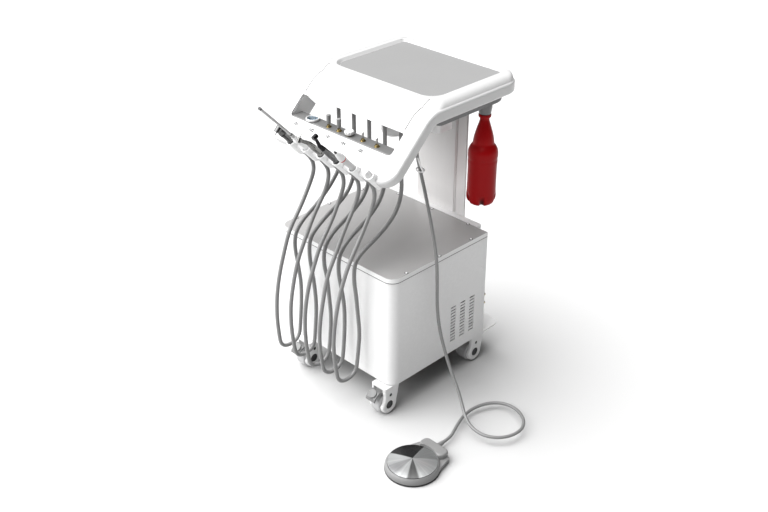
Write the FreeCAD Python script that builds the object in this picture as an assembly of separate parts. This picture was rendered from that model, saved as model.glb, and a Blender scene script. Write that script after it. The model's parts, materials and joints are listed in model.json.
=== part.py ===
"""Portable dental unit: a cabinet on casters, a column, an instrument head and a foot control.

Millimetres, +Z up, origin on the floor under the middle of the cabinet, -Y is the operator's side.
Each sub-part is written to parts/NAME.step.
"""
import FreeCAD, Part
import math
import os

V = FreeCAD.Vector

# ---------------------------------------------------------------- driving dimensions
CAB_W = 440.0          # cabinet width
CAB_D = 378.0          # cabinet depth
CAB_Z0 = 92.0          # underside of the cabinet
CAB_TOP = 430.0        # top of the cabinet
CORNER_R = 29.0        # front corners of the cabinet in plan
SHEET = 2.0            # sheet metal
SKIRT = 15.0           # folded edge of the top plate
BASE_T = 4.0           # base plate
BASE_REAR = 270.0      # rear edge of the base plate
BASE_R = 28.0          # rear corners of the base plate
DUCT_W = 360.0         # duct behind the cabinet
DUCT_REAR = 209.0      # rear face of the duct

COL_W = 144.0          # column, across
COL_D = 55.0           # column, front to back
COL_Y0 = 209.4         # column's front face
COL_TOP = 788.0        # column's top

HEAD_W = 470.0         # instrument head, over the side rails
HEAD_REAR = 288.0      # rear edge of the head
HEAD_REAR_R = 60.0     # rear corners of the head
RAIL_BOT = 825.0       # underside of the side rails on the deck
RAIL_TOP = 858.0       # top edge of the side rails on the deck
DECK_TOP = 871.0       # top of the deck
SKIN = 4.0             # moulded wall
RAIL_W = 13.0          # side rails, a closed section
UNDER_ROUND = 7.0      # rounding of the head's lower outer edge
SLOPE = 44.0           # front panel's angle below the horizontal, degrees
CREASE_Y = -66.5       # where deck and front panel would meet
CREASE_R = 75.0        # outer bend between them
PANEL_LEN = 211.0      # front panel, crease to lip
PANEL_T = 31.0         # front panel's depth at the rails
LIP_R = 48.0           # lower corners of the front panel

WIN_HALF = 187.0       # window, half its width
WIN_U0 = 70.0          # window's upper edge, down the slope
WIN_U1 = 137.0         # window's lower edge
LEDGE_D = 38.0         # control ledge, front to back

STATION_X = (-119.0, -60.0, -2.0, 56.0, 114.0, 172.0)   # holder stations, the last is empty
STATION_U = 202.0      # holder axis, down the slope
CRADLE_R = 14.0        # cradle, outside
CRADLE_BORE = 11.5     # cradle, inside
NOTCH_R = 14.4         # notch in the lip round a cradle

HOSE_D = 11.0          # handpiece hose
PEDAL_HOSE_D = 9.0     # foot control hose
HOSE_Y = -52.0         # hose outlets under the deck
HOSE_TOP = 786.0       # where the hoses leave their nuts

BOTTLE_X = 189.0
BOTTLE_Y = 188.0
BOTTLE_BOT = 513.0
BOTTLE_NECK = 760.0
BOTTLE_R = 40.0        # bottle's body

PEDAL_X = 412.5
PEDAL_Y = -308.0
PEDAL_R = 73.0
PEDAL_FOOT = 5.5       # rubber ring under the foot control
DOME_R = 65.5

WHEEL_R = 32.0
CASTER_HALF = 27.0     # half the width over the caster's cheeks
CHEEK_R = 27.5         # round end of a cheek
CHEEK_T = 10.0         # thickness of a cheek
WHEEL_HALF = 16.4      # half the width of a wheel
CROWN_FRONT = 18.0     # fork's crown, ahead of the axle
CROWN_REAR = 39.0      # fork's crown, behind the axle
FORK_TOP = 89.5        # top of the fork
SLEEVE_R = 9.0         # kingpin sleeve in the base
CASTER_TRAIL = 22.0    # stem to axle
CASTERS = {
    "front_right": (186.6, -168.0, True),
    "front_left": (-125.0, -168.0, True),
    "rear_right": (186.6, 188.5, False),
    "rear_left": (-125.0, 188.5, False),
}
RUN = 0.05             # radial running clearance

SOLIDS = {}


# ---------------------------------------------------------------- helpers
def keep(name, shape):
    """Store a finished sub-part under its name."""
    SOLIDS[name] = shape


def box(x0, x1, y0, y1, z0, z1):
    """A box between two opposite corners."""
    return Part.makeBox(x1 - x0, y1 - y0, z1 - z0, V(x0, y0, z0))


def rod(radius, start, end):
    """A round bar from one point to another."""
    axis = end - start
    return Part.makeCylinder(radius, axis.Length, start, axis)


def ring(outer, inner, start, end):
    """A round tube from one point to another."""
    axis = (end - start).normalize()
    return rod(outer, start, end).cut(rod(inner, start - axis, end + axis))


def outline(corners):
    """Closed wire through (x, y, radius) corners, each rounded by its own radius."""
    points = [V(x, y, 0) for x, y, _ in corners]
    edges = []
    count = len(points)
    entry = []
    for i in range(count):
        before = (points[i - 1] - points[i]).normalize()
        after = (points[(i + 1) % count] - points[i]).normalize()
        radius = corners[i][2]
        half = before.getAngle(after) / 2
        reach = radius / math.tan(half) if radius else 0.0
        middle = (before + after).normalize() * (radius / math.sin(half) - radius) if radius else V(0, 0, 0)
        entry.append((points[i] + before * reach, points[i] + middle, points[i] + after * reach))
    for i in range(count):
        first, mid, last = entry[i]
        if corners[i][2]:
            edges.append(Part.Arc(first, mid, last).toShape())
        following = entry[(i + 1) % count][0]
        if (following - last).Length > 1e-6:
            edges.append(Part.LineSegment(last, following).toShape())
    return Part.Wire(edges)


def prism(corners, low, high):
    """The outline of the corners, extruded from one height to another."""
    wire = outline(corners)
    wire.translate(V(0, 0, low))
    return Part.Face(wire).extrude(V(0, 0, high - low))


def plate(x0, x1, y0, y1, low, high, front=0.0, rear=0.0):
    """A flat plate whose front and rear corners have their own radii."""
    corners = [(x0, y0, front), (x1, y0, front), (x1, y1, rear), (x0, y1, rear)]
    return prism(corners, low, high)


def turned(profile, origin=V(0, 0, 0), axis=V(0, 0, 1)):
    """A solid of revolution: (radius, height) points, or arcs of (mid, end) pairs, about an axis."""
    here = V(profile[0][0], 0, profile[0][1])
    first = here
    edges = []
    for step in profile[1:]:
        if isinstance(step[0], tuple):
            middle = V(step[0][0], 0, step[0][1])
            end = V(step[1][0], 0, step[1][1])
            edges.append(Part.Arc(here, middle, end).toShape())
        else:
            end = V(step[0], 0, step[1])
            edges.append(Part.LineSegment(here, end).toShape())
        here = end
    if (here - first).Length > 1e-6:
        edges.append(Part.LineSegment(here, first).toShape())
    solid = Part.Face(Part.Wire(edges)).revolve(V(0, 0, 0), V(0, 0, 1), 360)
    solid.Placement = FreeCAD.Placement(origin, FreeCAD.Rotation(V(0, 0, 1), axis))
    return solid


def hexagon(radius, low, high):
    """A hexagonal nut's outline, extruded from one height to another."""
    angles = [math.radians(a) for a in range(0, 360, 60)]
    return prism([(radius * math.cos(a), radius * math.sin(a), 0.0) for a in angles], low, high)


def joined(shapes):
    """One solid from overlapping ones."""
    first, rest = shapes[0], shapes[1:]
    return first.multiFuse(rest).removeSplitter() if rest else first


# ---------------------------------------------------------------- front panel's own frame
TILT = math.radians(SLOPE)
PANEL_PLACE = FreeCAD.Placement(V(0, CREASE_Y, RAIL_TOP - 1.0), FreeCAD.Rotation(V(1, 0, 0), SLOPE))


def on_panel(shape):
    """Move a shape from panel axes (x, up the slope, outwards) into the part's frame."""
    moved = shape.copy()
    moved.Placement = PANEL_PLACE.multiply(moved.Placement)
    return moved


def panel_point(x, down, out):
    """A point of the front panel: across, down the slope, outwards from its face."""
    return PANEL_PLACE.multVec(V(x, -down, out))


PANEL_OUT = PANEL_PLACE.Rotation.multVec(V(0, 0, 1))


# ---------------------------------------------------------------- cabinet
def cabinet_outline(inset, rear):
    """Cabinet plan with rounded front corners, drawn inwards by inset."""
    half = CAB_W / 2 - inset
    front = -CAB_D / 2 + inset
    radius = CORNER_R - inset
    return [(-half, front, radius), (half, front, radius), (half, rear, 0.0), (-half, rear, 0.0)]


VENT_COLUMNS = (55.5, 95.0, 134.0)
VENT_ROWS = 12
VENT_PITCH = 10.0
VENT_Z0 = 131.0
VENT_LEN = 21.5
VENT_H = 4.0


def vent_slots(side):
    """Three columns of round-ended slots through one side wall."""
    slots = []
    reach = VENT_LEN / 2 - VENT_H / 2
    x0 = side * (CAB_W / 2 - 6.0)
    x1 = x0 + side * 12
    for y in VENT_COLUMNS:
        for row in range(VENT_ROWS):
            z = VENT_Z0 + row * VENT_PITCH
            low = V(min(x0, x1), y - reach, z - VENT_H / 2)
            bar = Part.makeBox(12, 2 * reach, VENT_H, low)
            ends = [rod(VENT_H / 2, V(x0, y + e, z), V(x1, y + e, z)) for e in (-reach, reach)]
            slots.append(bar.fuse(ends))
    return slots


def make_cabinet():
    """Wrapped sheet shell, top plate, corner caps, back panel, base plate and rear duct."""
    half = CAB_W / 2
    rear = CAB_D / 2
    shell = prism(cabinet_outline(0.0, rear), CAB_Z0, CAB_TOP - 2.5)
    shell = shell.cut(prism(cabinet_outline(SHEET, rear + 10), CAB_Z0 - 5, CAB_TOP + 5))
    shell = shell.cut(Part.makeCompound(vent_slots(1) + vent_slots(-1)))
    keep("cabinet_shell", shell)

    lid_out = prism(cabinet_outline(-1.6, rear - 3.0), CAB_TOP - SKIRT, CAB_TOP)
    lid_in = prism(cabinet_outline(-0.3, rear + 10), CAB_TOP - SKIRT - 5, CAB_TOP - SHEET)
    lid = lid_out.cut(lid_in)
    y = -rear + CORNER_R
    for side in (-1, 1):
        x = side * (half - CORNER_R)
        lid = lid.cut(box(x - 0.4, x + 0.4, -rear - 5, -rear + 0.2, CAB_TOP - SKIRT - 1, CAB_TOP - 1.0))
        seam = box(half, half + 5, y - 0.4, y + 0.4, CAB_TOP - SKIRT - 1, CAB_TOP - 1.0)
        lid = lid.cut(seam if side > 0 else seam.mirror(V(0, 0, 0), V(1, 0, 0)))
    keep("top_plate", lid)

    panel = box(-half + 2.3, half - 2.3, rear - 2.2, rear - 0.2, CAB_Z0 + BASE_T + 0.3, CAB_TOP - 3.0)
    for z in INLET_Z:
        panel = panel.cut(rod(6.2, V(INLET_X, rear - 10, z), V(INLET_X, rear + 10, z)))
    x0, x1 = MAINS_X - 10.2, MAINS_X + 10.2
    panel = panel.cut(box(x0, x1, rear - 10, rear + 10, MAINS_Z - 14.2, MAINS_Z + 14.2))
    for row in range(8):
        z = 250.0 + 14 * row
        panel = panel.cut(box(-205, -190, rear - 10, rear + 10, z, z + 5))
    inside = half - 2.3
    base = plate(-inside, inside, -rear + 2.3, rear, CAB_Z0, CAB_Z0 + BASE_T, CORNER_R - 2.3, 0.0)
    base = base.fuse(plate(-half, half, rear + 0.3, BASE_REAR, CAB_Z0, CAB_Z0 + BASE_T, 0.0, BASE_R))
    base = base.fuse(box(-inside, inside, rear - 5, rear + 5, CAB_Z0, CAB_Z0 + BASE_T))
    for stem_x, stem_y, _ in CASTERS.values():
        foot = V(stem_x, stem_y, CAB_Z0 - 5)
        base = base.cut(rod(SLEEVE_R + 0.1, foot, foot + V(0, 0, 21.2)))
    base = base.removeSplitter()
    keep("base_plate", base)

    duct = plate(-DUCT_W / 2, DUCT_W / 2, rear - 0.5, DUCT_REAR, CAB_Z0 + BASE_T + 0.3, CAB_TOP, 0.0, 4.0)
    inside = DUCT_W / 2 - SHEET
    duct = duct.cut(box(-inside, inside, rear - 5, DUCT_REAR - SHEET, CAB_Z0, CAB_TOP - SHEET))
    for z in (300.0, 380.0):
        duct = duct.cut(rod(3.3, V(150, DUCT_REAR - 10, z), V(150, DUCT_REAR + 5, z)))
        duct = duct.cut(rod(3.3, V(-150, DUCT_REAR - 10, z), V(-150, DUCT_REAR + 5, z)))
    keep("rear_cover", joined([panel, duct]))


# ---------------------------------------------------------------- services at the back
INLET_X = 190.0
INLET_Z = (196.0, 168.0)
INLET_R = 4.0
MAINS_X = -195.0
MAINS_Z = 150.0


def make_services():
    """Air and water inlets with their hose spigots, and the mains socket."""
    rear = CAB_D / 2
    fittings = []
    for z in INLET_Z:
        body = rod(6.0, V(INLET_X, rear - 12, z), V(INLET_X, rear + 8, z))
        nut = hexagon(8.5, 0.0, 7.0)
        nut.Placement = FreeCAD.Placement(V(INLET_X, rear + 7.2, z), FreeCAD.Rotation(V(1, 0, 0), 90))
        spigot = rod(INLET_R, V(INLET_X, rear + 6, z), V(INLET_X, rear + 38, z))
        bore = rod(2.4, V(INLET_X, rear - 20, z), V(INLET_X, rear + 40, z))
        fittings.append(joined([body, nut, spigot]).cut(bore))
    keep("inlet_fittings", Part.makeCompound(fittings))

    socket = box(MAINS_X - 10, MAINS_X + 10, rear - 24, rear + 0.2, MAINS_Z - 14, MAINS_Z + 14)
    socket = socket.fuse(box(MAINS_X - 14, MAINS_X + 14, rear, rear + 2.2, MAINS_Z - 24, MAINS_Z + 24))
    socket = socket.cut(Part.makeBox(15, 21, 23, V(MAINS_X - 7.5, rear - 16, MAINS_Z - 11.5)))
    pins = []
    for dx, dz in ((-2, -7), (2, 0), (-2, 7)):
        pins.append(Part.makeBox(2, 13, 2, V(MAINS_X + dx - 1, rear - 17, MAINS_Z + dz - 1)))
    keep("mains_socket", joined([socket] + pins))


# ---------------------------------------------------------------- inside the cabinet
def make_inside():
    """Oil-free compressor, air tank, suction pump and the cooling fan behind the vents."""
    floor = CAB_Z0 + BASE_T + 0.3
    cx, cy, cz = -95.0, -70.0, floor + 78
    parts = [rod(48, V(cx - 62, cy, cz), V(cx + 62, cy, cz))]
    for side in (-1, 1):
        x = cx + side * 84
        parts.append(rod(34, V(cx + side * 60, cy, cz), V(cx + side * 108, cy, cz)))
        for level in range(4):
            z = cz + 38 + level * 9
            parts.append(box(x - 26, x + 26, cy - 30, cy + 30, z, z + 4))
        parts.append(box(x - 18, x + 18, cy - 22, cy + 22, cz + 10, cz + 72))
        parts.append(box(x - 8, x + 8, cy - 46, cy + 46, floor, cz - 20))
    keep("compressor", joined(parts))

    r, length, x0, y, z = 62.0, 210.0, -180.0, 92.0, floor + 74
    far = length
    tank = turned([
        (0, 0), (12, 0), ((r * 0.76, 10), (r, 34)), (r, far - 34),
        ((r * 0.76, far - 10), (12, far)), (0, far),
    ], V(x0, y, z), V(1, 0, 0))
    feet = [box(x - 8, x + 8, y - 50, y + 50, floor, z - 40) for x in (x0 + 50, x0 + length - 50)]
    keep("air_tank", joined([tank] + feet))

    px, py = 95.0, -75.0
    pump = turned([
        (0, 0), (46, 0), (46, 8), (40, 14), (40, 92), (46, 98), (46, 128), ((38, 143), (20, 146)), (0, 146),
    ], V(px, py, floor))
    spout = rod(11, V(px, py, floor + 113), V(px, py + 72, floor + 113))
    keep("suction_pump", joined([pump, spout]))

    fan_x, fan_y, fan_z, side = CAB_W / 2 - 27.3, VENT_COLUMNS[1], VENT_Z0 + 57, 96.0
    frame = Part.makeBox(25, side, side, V(fan_x, fan_y - side / 2, fan_z - side / 2))
    frame = frame.cut(rod(43, V(fan_x - 5, fan_y, fan_z), V(fan_x + 40, fan_y, fan_z)))
    struts = [Part.makeBox(4, 92, 6, V(fan_x, fan_y - 46, fan_z - 3))]
    struts.append(Part.makeBox(4, 6, 92, V(fan_x, fan_y - 3, fan_z - 46)))
    boss = rod(14, V(fan_x, fan_y, fan_z), V(fan_x + 6, fan_y, fan_z))
    shaft = rod(2.5, V(fan_x, fan_y, fan_z), V(fan_x + 20, fan_y, fan_z))
    keep("fan_frame", joined([frame, boss, shaft] + struts))
    hub = rod(15, V(fan_x + 6.6, fan_y, fan_z), V(fan_x + 22, fan_y, fan_z))
    blades = []
    for k in range(7):
        blade = box(fan_x + 9, fan_x + 20, fan_y - 1.2, fan_y + 1.2, fan_z + 12, fan_z + 41)
        blade.rotate(V(fan_x + 14, fan_y, fan_z + 26), V(0, 0, 1), 38)
        blade.rotate(V(fan_x, fan_y, fan_z), V(1, 0, 0), 360.0 / 7 * k)
        blades.append(blade)
    rotor = joined([hub] + blades)
    keep("fan_rotor", rotor.cut(rod(2.5 + RUN, V(fan_x, fan_y, fan_z), V(fan_x + 20.4, fan_y, fan_z))))


# ---------------------------------------------------------------- column
def make_column():
    """Extruded column with grooved sides, and the bracket that carries the head."""
    half = COL_W / 2
    y1 = COL_Y0 + COL_D
    base = CAB_Z0 + BASE_T + 0.3
    post = plate(-half, half, COL_Y0, y1, base, COL_TOP, 3.0, 3.0)
    wall = 3.0
    inside = half - wall
    post = post.cut(plate(-inside, inside, COL_Y0 + wall, y1 - wall, base - 5, COL_TOP + 5, 2.0, 2.0))
    for side in (-1, 1):
        for y in (COL_Y0 + 4, y1 - 9):
            x = side * half
            post = post.cut(box(x - 1.8, x + 1.8, y, y + 5, base - 5, COL_TOP + 5))
    flange = plate(-half - 22, half + 22, COL_Y0 - 8, y1 + 4, COL_TOP - 0.1, PAN_BOT - 0.2, 10.0, 10.0)
    keep("column", joined([post, flange]))


# ---------------------------------------------------------------- instrument head
PAN_BOT = 800.0
PAN_HALF = 208.0
PAN_FRONT = -10.0
PAN_REAR = 270.0


def head_band(shrink, top_drop):
    """Side view of the head's wall in (y, z), its crease rounded; shrink draws every side inwards."""
    c, s = math.cos(TILT), math.sin(TILT)
    top = RAIL_TOP - 1.0 - top_drop
    crease = V(CREASE_Y + top_drop * math.tan(TILT / 2), top, 0)
    run = PANEL_LEN - shrink
    lip_out = V(CREASE_Y, RAIL_TOP - 1.0, 0) + V(-c, -s, 0) * run + V(s, -c, 0) * top_drop
    depth = PANEL_T - top_drop + (30.0 if shrink else 0.0)
    lip_in = lip_out + V(s, -c, 0) * depth
    under = RAIL_BOT - (30.0 if shrink else 0.0)
    inner_y = lip_in.x + (under - lip_in.y) / math.tan(TILT)
    corners = [
        (HEAD_REAR - shrink, under, 0.0),
        (HEAD_REAR - shrink, top, 0.0),
        (crease.x, crease.y, CREASE_R - top_drop),
        (lip_out.x, lip_out.y, 0.0),
        (lip_in.x, lip_in.y, 0.0),
        (inner_y, under, CREASE_R - PANEL_T if not shrink else 5.0),
    ]
    return corners


def head_side(corners, half):
    """Extrude a (y, z) outline across the head."""
    wire = outline([(y, z, r) for y, z, r in corners])
    face = Part.Face(wire)
    solid = face.extrude(V(0, 0, 2 * half))
    solid.Placement = FreeCAD.Placement(V(-half, 0, 0), FreeCAD.Rotation(V(1, 1, 1), 120))
    return solid


CROWN_LEVELS = (       # raised deck: (inset from the sides, inset from the rear, height, rear corners)
    (6.0, 3.0, RAIL_TOP - 2.5, HEAD_REAR_R - 4),
    (9.0, 4.0, 860.5, 50.0),
    (15.0, 5.5, 866.0, 42.0),
    (23.0, 7.5, 869.6, 34.0),
    (33.0, 9.0, DECK_TOP, 26.0),
)


def crown():
    """Raised middle of the deck: lofts between rounded rectangles that flatten towards the top."""
    half = HEAD_W / 2
    wires = []
    for step, (inset, rear_in, z, r_rear) in enumerate(CROWN_LEVELS):
        x = half - inset
        front = -50.0 + 8.0 * step
        rear = HEAD_REAR - rear_in
        wire = outline([(-x, front, 26.0), (x, front, 26.0), (x, rear, r_rear), (-x, rear, r_rear)])
        wire.translate(V(0, 0, z))
        wires.append(wire)
    return Part.makeLoft(wires, True, True)


MAT_X = 178.0
MAT_FRONT = -8.0
MAT_REAR = 262.0
TRAY_FLOOR = 863.0
RAIL_ROUND = 8.0
FASCIA_HALF = 184.0
FASCIA_U1 = 60.0
FASCIA_Y0 = -22.0


def head_trim():
    """Everything the head's outline keeps: rounded rear corners and rounded lower corners."""
    half = HEAD_W / 2
    rear = plate(-half, half, -400, HEAD_REAR, 500, 950, 0.0, HEAD_REAR_R)
    lip = plate(-half, half, -PANEL_LEN, 900, -600, 600, LIP_R, 0.0)
    return rear, on_panel(lip)


def bend_centre():
    """Centre of the bend between deck and panel, in (y, z)."""
    return CREASE_Y + CREASE_R * math.tan(TILT / 2), RAIL_TOP - 1.0 - CREASE_R


def is_on_bend(point, radius):
    """Whether a point lies on the bend's arc of that radius."""
    centre_y, centre_z = bend_centre()
    return abs(math.hypot(point.y - centre_y, point.z - centre_z) - radius) < 0.5


def bounds_skin(edge, depth):
    """Whether an edge runs along the head's outside at a depth below the deck and panel faces."""
    first, span = edge.FirstParameter, edge.LastParameter - edge.FirstParameter
    points = [edge.valueAt(first + span * t) for t in (0.2, 0.5, 0.8)]
    flat = all(abs(p.z - (RAIL_TOP - 1.0 - depth)) < 0.01 for p in points)
    sloped = all(abs((p - PANEL_PLACE.Base).dot(PANEL_OUT) + depth) < 0.01 for p in points)
    at_side = all(abs(abs(p.x) - HEAD_W / 2) < 0.01 for p in points)
    bent = at_side and edge.Length > 20 and is_on_bend(points[1], CREASE_R - depth)
    across = abs(points[0].x - points[2].x) > 50 and -200 < points[1].y < HEAD_REAR - 100
    return (flat or sloped or bent) and not across


def dish(x, front, rear, low, high, flare, r_front, r_rear):
    """A shallow dish to cut: a loft that widens upwards."""
    wires = []
    for grow, z in ((0.0, low), (flare, high)):
        wire = outline([
            (-x - grow, front - grow, r_front + grow), (x + grow, front - grow, r_front + grow),
            (x + grow, rear + grow, r_rear + grow), (-x - grow, rear + grow, r_rear + grow),
        ])
        wire.translate(V(0, 0, z))
        wires.append(wire)
    return Part.makeLoft(wires, True, True)


def make_head():
    """Moulded head shell with side rails, window and holder notches; the fascia; the mat; the pan."""
    half = HEAD_W / 2
    body = head_side(head_band(0.0, 0.0), half)
    rear_trim, lip_trim = head_trim()
    body = body.common(rear_trim).common(lip_trim)
    body = body.makeFillet(RAIL_ROUND, [e for e in body.Edges if bounds_skin(e, 0.0)])
    body = body.makeFillet(UNDER_ROUND, [e for e in body.Edges if bounds_skin(e, RAIL_TOP - 1.0 - RAIL_BOT)])
    body = body.fuse(crown())
    hollow = head_side(head_band(SKIN, SKIN), half - RAIL_W)
    x = half - RAIL_W
    inner_rear = plate(-x, x, -400, HEAD_REAR - RAIL_W, 500, 950, 0.0, HEAD_REAR_R - RAIL_W)
    inner_lip = plate(-x, x, -PANEL_LEN + SKIN, 900, -600, 600, LIP_R - RAIL_W, 0.0)
    hollow = hollow.common(inner_rear).common(on_panel(inner_lip))
    body = body.cut(hollow)

    window = plate(-WIN_HALF, WIN_HALF, -WIN_U1, -WIN_U0, -60, 20, 12.0, 4.0)
    body = body.cut(on_panel(window))
    for x in STATION_X:
        notch = rod(NOTCH_R, V(x, -STATION_U, -60), V(x, -STATION_U, 20))
        notch = notch.fuse(box(x - NOTCH_R, x + NOTCH_R, -PANEL_LEN - 20, -STATION_U, -60, 20))
        body = body.cut(on_panel(notch))

    tray = dish(MAT_X + 1.0, MAT_FRONT - 1.0, MAT_REAR + 1.0, TRAY_FLOOR, DECK_TOP + 0.2, 9.0, 37.0, 13.0)
    body = body.cut(tray)
    mat = plate(-MAT_X, MAT_X, MAT_FRONT, MAT_REAR, TRAY_FLOOR + 0.1, TRAY_FLOOR + 2.1, 36.0, 12.0)

    cover = on_panel(box(-FASCIA_HALF, FASCIA_HALF, -FASCIA_U1, 120, -45, 60))
    cover = cover.common(box(-FASCIA_HALF, FASCIA_HALF, -300, FASCIA_Y0, 700, 900))
    gap = on_panel(box(-FASCIA_HALF - 0.7, FASCIA_HALF + 0.7, -FASCIA_U1 - 0.7, 120, -45, 60))
    gap = gap.common(box(-FASCIA_HALF - 0.7, FASCIA_HALF + 0.7, -300, FASCIA_Y0 + 0.7, 700, 900))
    fascia = body.common(cover)
    body = body.cut(gap)
    keep("head_shell", body)
    keep("fascia", fascia)
    keep("tray_mat", mat)

    pan = plate(-PAN_HALF, PAN_HALF, PAN_FRONT, PAN_REAR, PAN_BOT, RAIL_TOP - SKIN - 5.4, 12.0, 60.0)
    inside = PAN_HALF - 3
    pan = pan.cut(plate(-inside, inside, PAN_FRONT + 3, PAN_REAR - 3, PAN_BOT + 3, 900, 9.0, 57.0))
    pan = pan.cut(rod(9.5, V(BOTTLE_X, BOTTLE_Y, PAN_BOT - 5), V(BOTTLE_X, BOTTLE_Y, PAN_BOT + 10)))
    keep("under_pan", pan)


VALVE_X = 110.0
VALVE_Y0 = 95.0
VALVE_Y1 = 151.5
VALVE_ROUND = 12.0
VALVE_BOT = 716.0
BOWL_R = 34.0
BOWL_BOT = 702.0


def make_under_head():
    """Valve box and filter bowl hung from the pan, and the manifold that the hoses leave."""
    valve = plate(-VALVE_X, VALVE_X, VALVE_Y0, VALVE_Y1, VALVE_BOT, PAN_BOT - 0.2, VALVE_ROUND, 6.0)
    keep("valve_box", valve.makeFillet(2.0, [e for e in valve.Edges if e.BoundBox.ZMax < VALVE_BOT + 0.1]))

    neck = 770.0
    bowl = turned([
        (0, BOWL_BOT), (14, BOWL_BOT), ((28, BOWL_BOT + 5), (BOWL_R, BOWL_BOT + 20)),
        (BOWL_R, neck - 20), (BOWL_R + 3, neck - 18), (BOWL_R + 3, neck), (BOWL_R - 6, neck + 5),
        (BOWL_R - 6, PAN_BOT - 0.2), (0, PAN_BOT - 0.2),
    ], V(0, 38, 0))
    keep("filter_bowl", bowl)

    manifold = box(-140, 186, HOSE_Y - 13, PAN_FRONT - 0.3, 804, 822)
    nuts = []
    for x in STATION_X[:5] + (PEDAL_OUT_X,):
        nuts.append(turned([
            (0, HOSE_TOP), (6.5, HOSE_TOP), (7.5, HOSE_TOP + 3), (7.5, 800), (9.5, 801),
            (9.5, 804.5), (0, 804.5),
        ], V(x, HOSE_Y, 0)))
    keep("hose_manifold", joined([manifold] + nuts))


# ---------------------------------------------------------------- controls in the window
LEDGE_Z = 762.0
CONTROL_Y = -146.0
GAUGE_X = -118.0
GAUGE_R = 18.0
TOGGLES = (            # name, place along the ledge, whether its handle is the tall round kind
    ("toggle_1", -55.0, True),
    ("toggle_2", -16.0, True),
    ("toggle_3", 72.0, False),
    ("toggle_4", 122.0, False),
)
KNOB_X = 22.0


def make_controls():
    """Control ledge with side cheeks, gauge, four toggle valves and the flow knob."""
    front_y = panel_point(0, WIN_U1, -SKIN).y
    half, rear_y = WIN_HALF - 0.4, front_y + LEDGE_D
    ledge = box(-half, half, front_y + 1.0, rear_y, LEDGE_Z - 3, LEDGE_Z)
    apron = box(-half, half, rear_y - 2, rear_y, LEDGE_Z - 26, LEDGE_Z - 1)
    cheeks = []
    for side in (-1, 1):
        low = min(side * half, side * (half - 2.5))
        cheek = plate(low, low + 2.5, -WIN_U1 + 1, -WIN_U0 + 3, -57, -SKIN - 0.3)
        cheeks.append(on_panel(cheek))
    tray = joined([ledge, apron] + cheeks).cut(on_panel(box(-300, 300, -300, 300, -SKIN - 0.3, 60)))
    holes = [rod(3.2, V(x, CONTROL_Y, LEDGE_Z - 10), V(x, CONTROL_Y, LEDGE_Z + 5)) for _, x, _ in TOGGLES]
    holes.append(rod(3.2, V(KNOB_X, CONTROL_Y, LEDGE_Z - 10), V(KNOB_X, CONTROL_Y, LEDGE_Z + 5)))
    keep("control_ledge", tray.cut(Part.makeCompound(holes)))

    at = V(GAUGE_X, CONTROL_Y, LEDGE_Z)
    case = turned([
        (0, 0.1), (GAUGE_R - 1.5, 0.1), (GAUGE_R, 1.5), (GAUGE_R, 5.5),
        ((GAUGE_R - 0.7, 6.8), (GAUGE_R - 2.4, 6.5)), (GAUGE_R - 2.6, 2.6), (0, 2.6),
    ], at)
    spindle = rod(1.0, at + V(0, 0, 2), at + V(0, 0, 4.2))
    keep("gauge_case", joined([case, spindle]))
    hub = ring(1.9, 1.0 + RUN, at + V(0, 0, 3.0), at + V(0, 0, 3.9))
    hand = prism([(-0.6, -4.5, 0.0), (0.6, -4.5, 0.0), (0.25, 13.0, 0.0), (-0.25, 13.0, 0.0)], 3.1, 3.7)
    hand.translate(at)
    hand = hand.fuse(hub).cut(rod(1.0 + RUN, at, at + V(0, 0, 8)))
    hand.rotate(at, V(0, 0, 1), 130)
    keep("gauge_needle", hand)
    keep("gauge_lens", rod(GAUGE_R - 2.9, at + V(0, 0, 4.6), at + V(0, 0, 5.6)))

    bushes = []
    for name, x, tall in TOGGLES:
        foot = V(x, CONTROL_Y, LEDGE_Z)
        stem = rod(3.1, foot - V(0, 0, 6), foot + V(0, 0, 1))
        washer = rod(7.5, foot + V(0, 0, 0.1), foot + V(0, 0, 1.2))
        nut = hexagon(5.6, 1.1, 4.0)
        nut.translate(foot)
        collar = rod(3.9, foot + V(0, 0, 3.9), foot + V(0, 0, 7.5))
        seat = box(x - 1.7, x + 1.7, CONTROL_Y - 4, CONTROL_Y + 4, LEDGE_Z + 4.2, LEDGE_Z + 9)
        bushes.append(joined([stem, washer, nut, collar]).cut(seat))
        pivot = foot + V(0, 0, 5.6)
        lever = [rod(1.2, pivot - V(0, 0, 1.0), pivot + V(0, 0, 5.0))]
        grip = [(0, 3.6), (2.0, 3.6), (2.9, 14.0), ((2.4, 17.0), (1.0, 17.8)), (0, 17.8)]
        if tall:
            grip = [(0, 4.0), (4.2, 4.0), (5.6, 6.0), (6.0, 25.0), ((5.2, 28.3), (3.0, 29.2)), (0, 29.2)]
        lever.append(turned(grip, pivot))
        keep(name, joined(lever))
    foot = V(KNOB_X, CONTROL_Y, LEDGE_Z)
    stem = rod(3.1, foot - V(0, 0, 6), foot + V(0, 0, 1))
    washer = rod(8.0, foot + V(0, 0, 0.1), foot + V(0, 0, 1.5))
    bushes.append(joined([stem, washer, rod(2.0, foot, foot + V(0, 0, 8))]))
    keep("valve_bushes", Part.makeCompound(bushes))

    profile = [(0, 2.0), (9.0, 2.0), (11.5, 4.0), (12.6, 8.0), ((12.2, 12.0), (9.5, 13.6)), (0, 14.2)]
    knob = turned(profile, foot)
    knob = knob.cut(rod(2.0 + RUN, foot, foot + V(0, 0, 8.3)))
    flutes = []
    for k in range(10):
        a = math.radians(36 * k)
        c = foot + V(14.4 * math.cos(a), 14.4 * math.sin(a), 0)
        flutes.append(rod(3.0, c, c + V(0, 0, 16)))
    keep("flow_knob", knob.cut(Part.makeCompound(flutes)))


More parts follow.
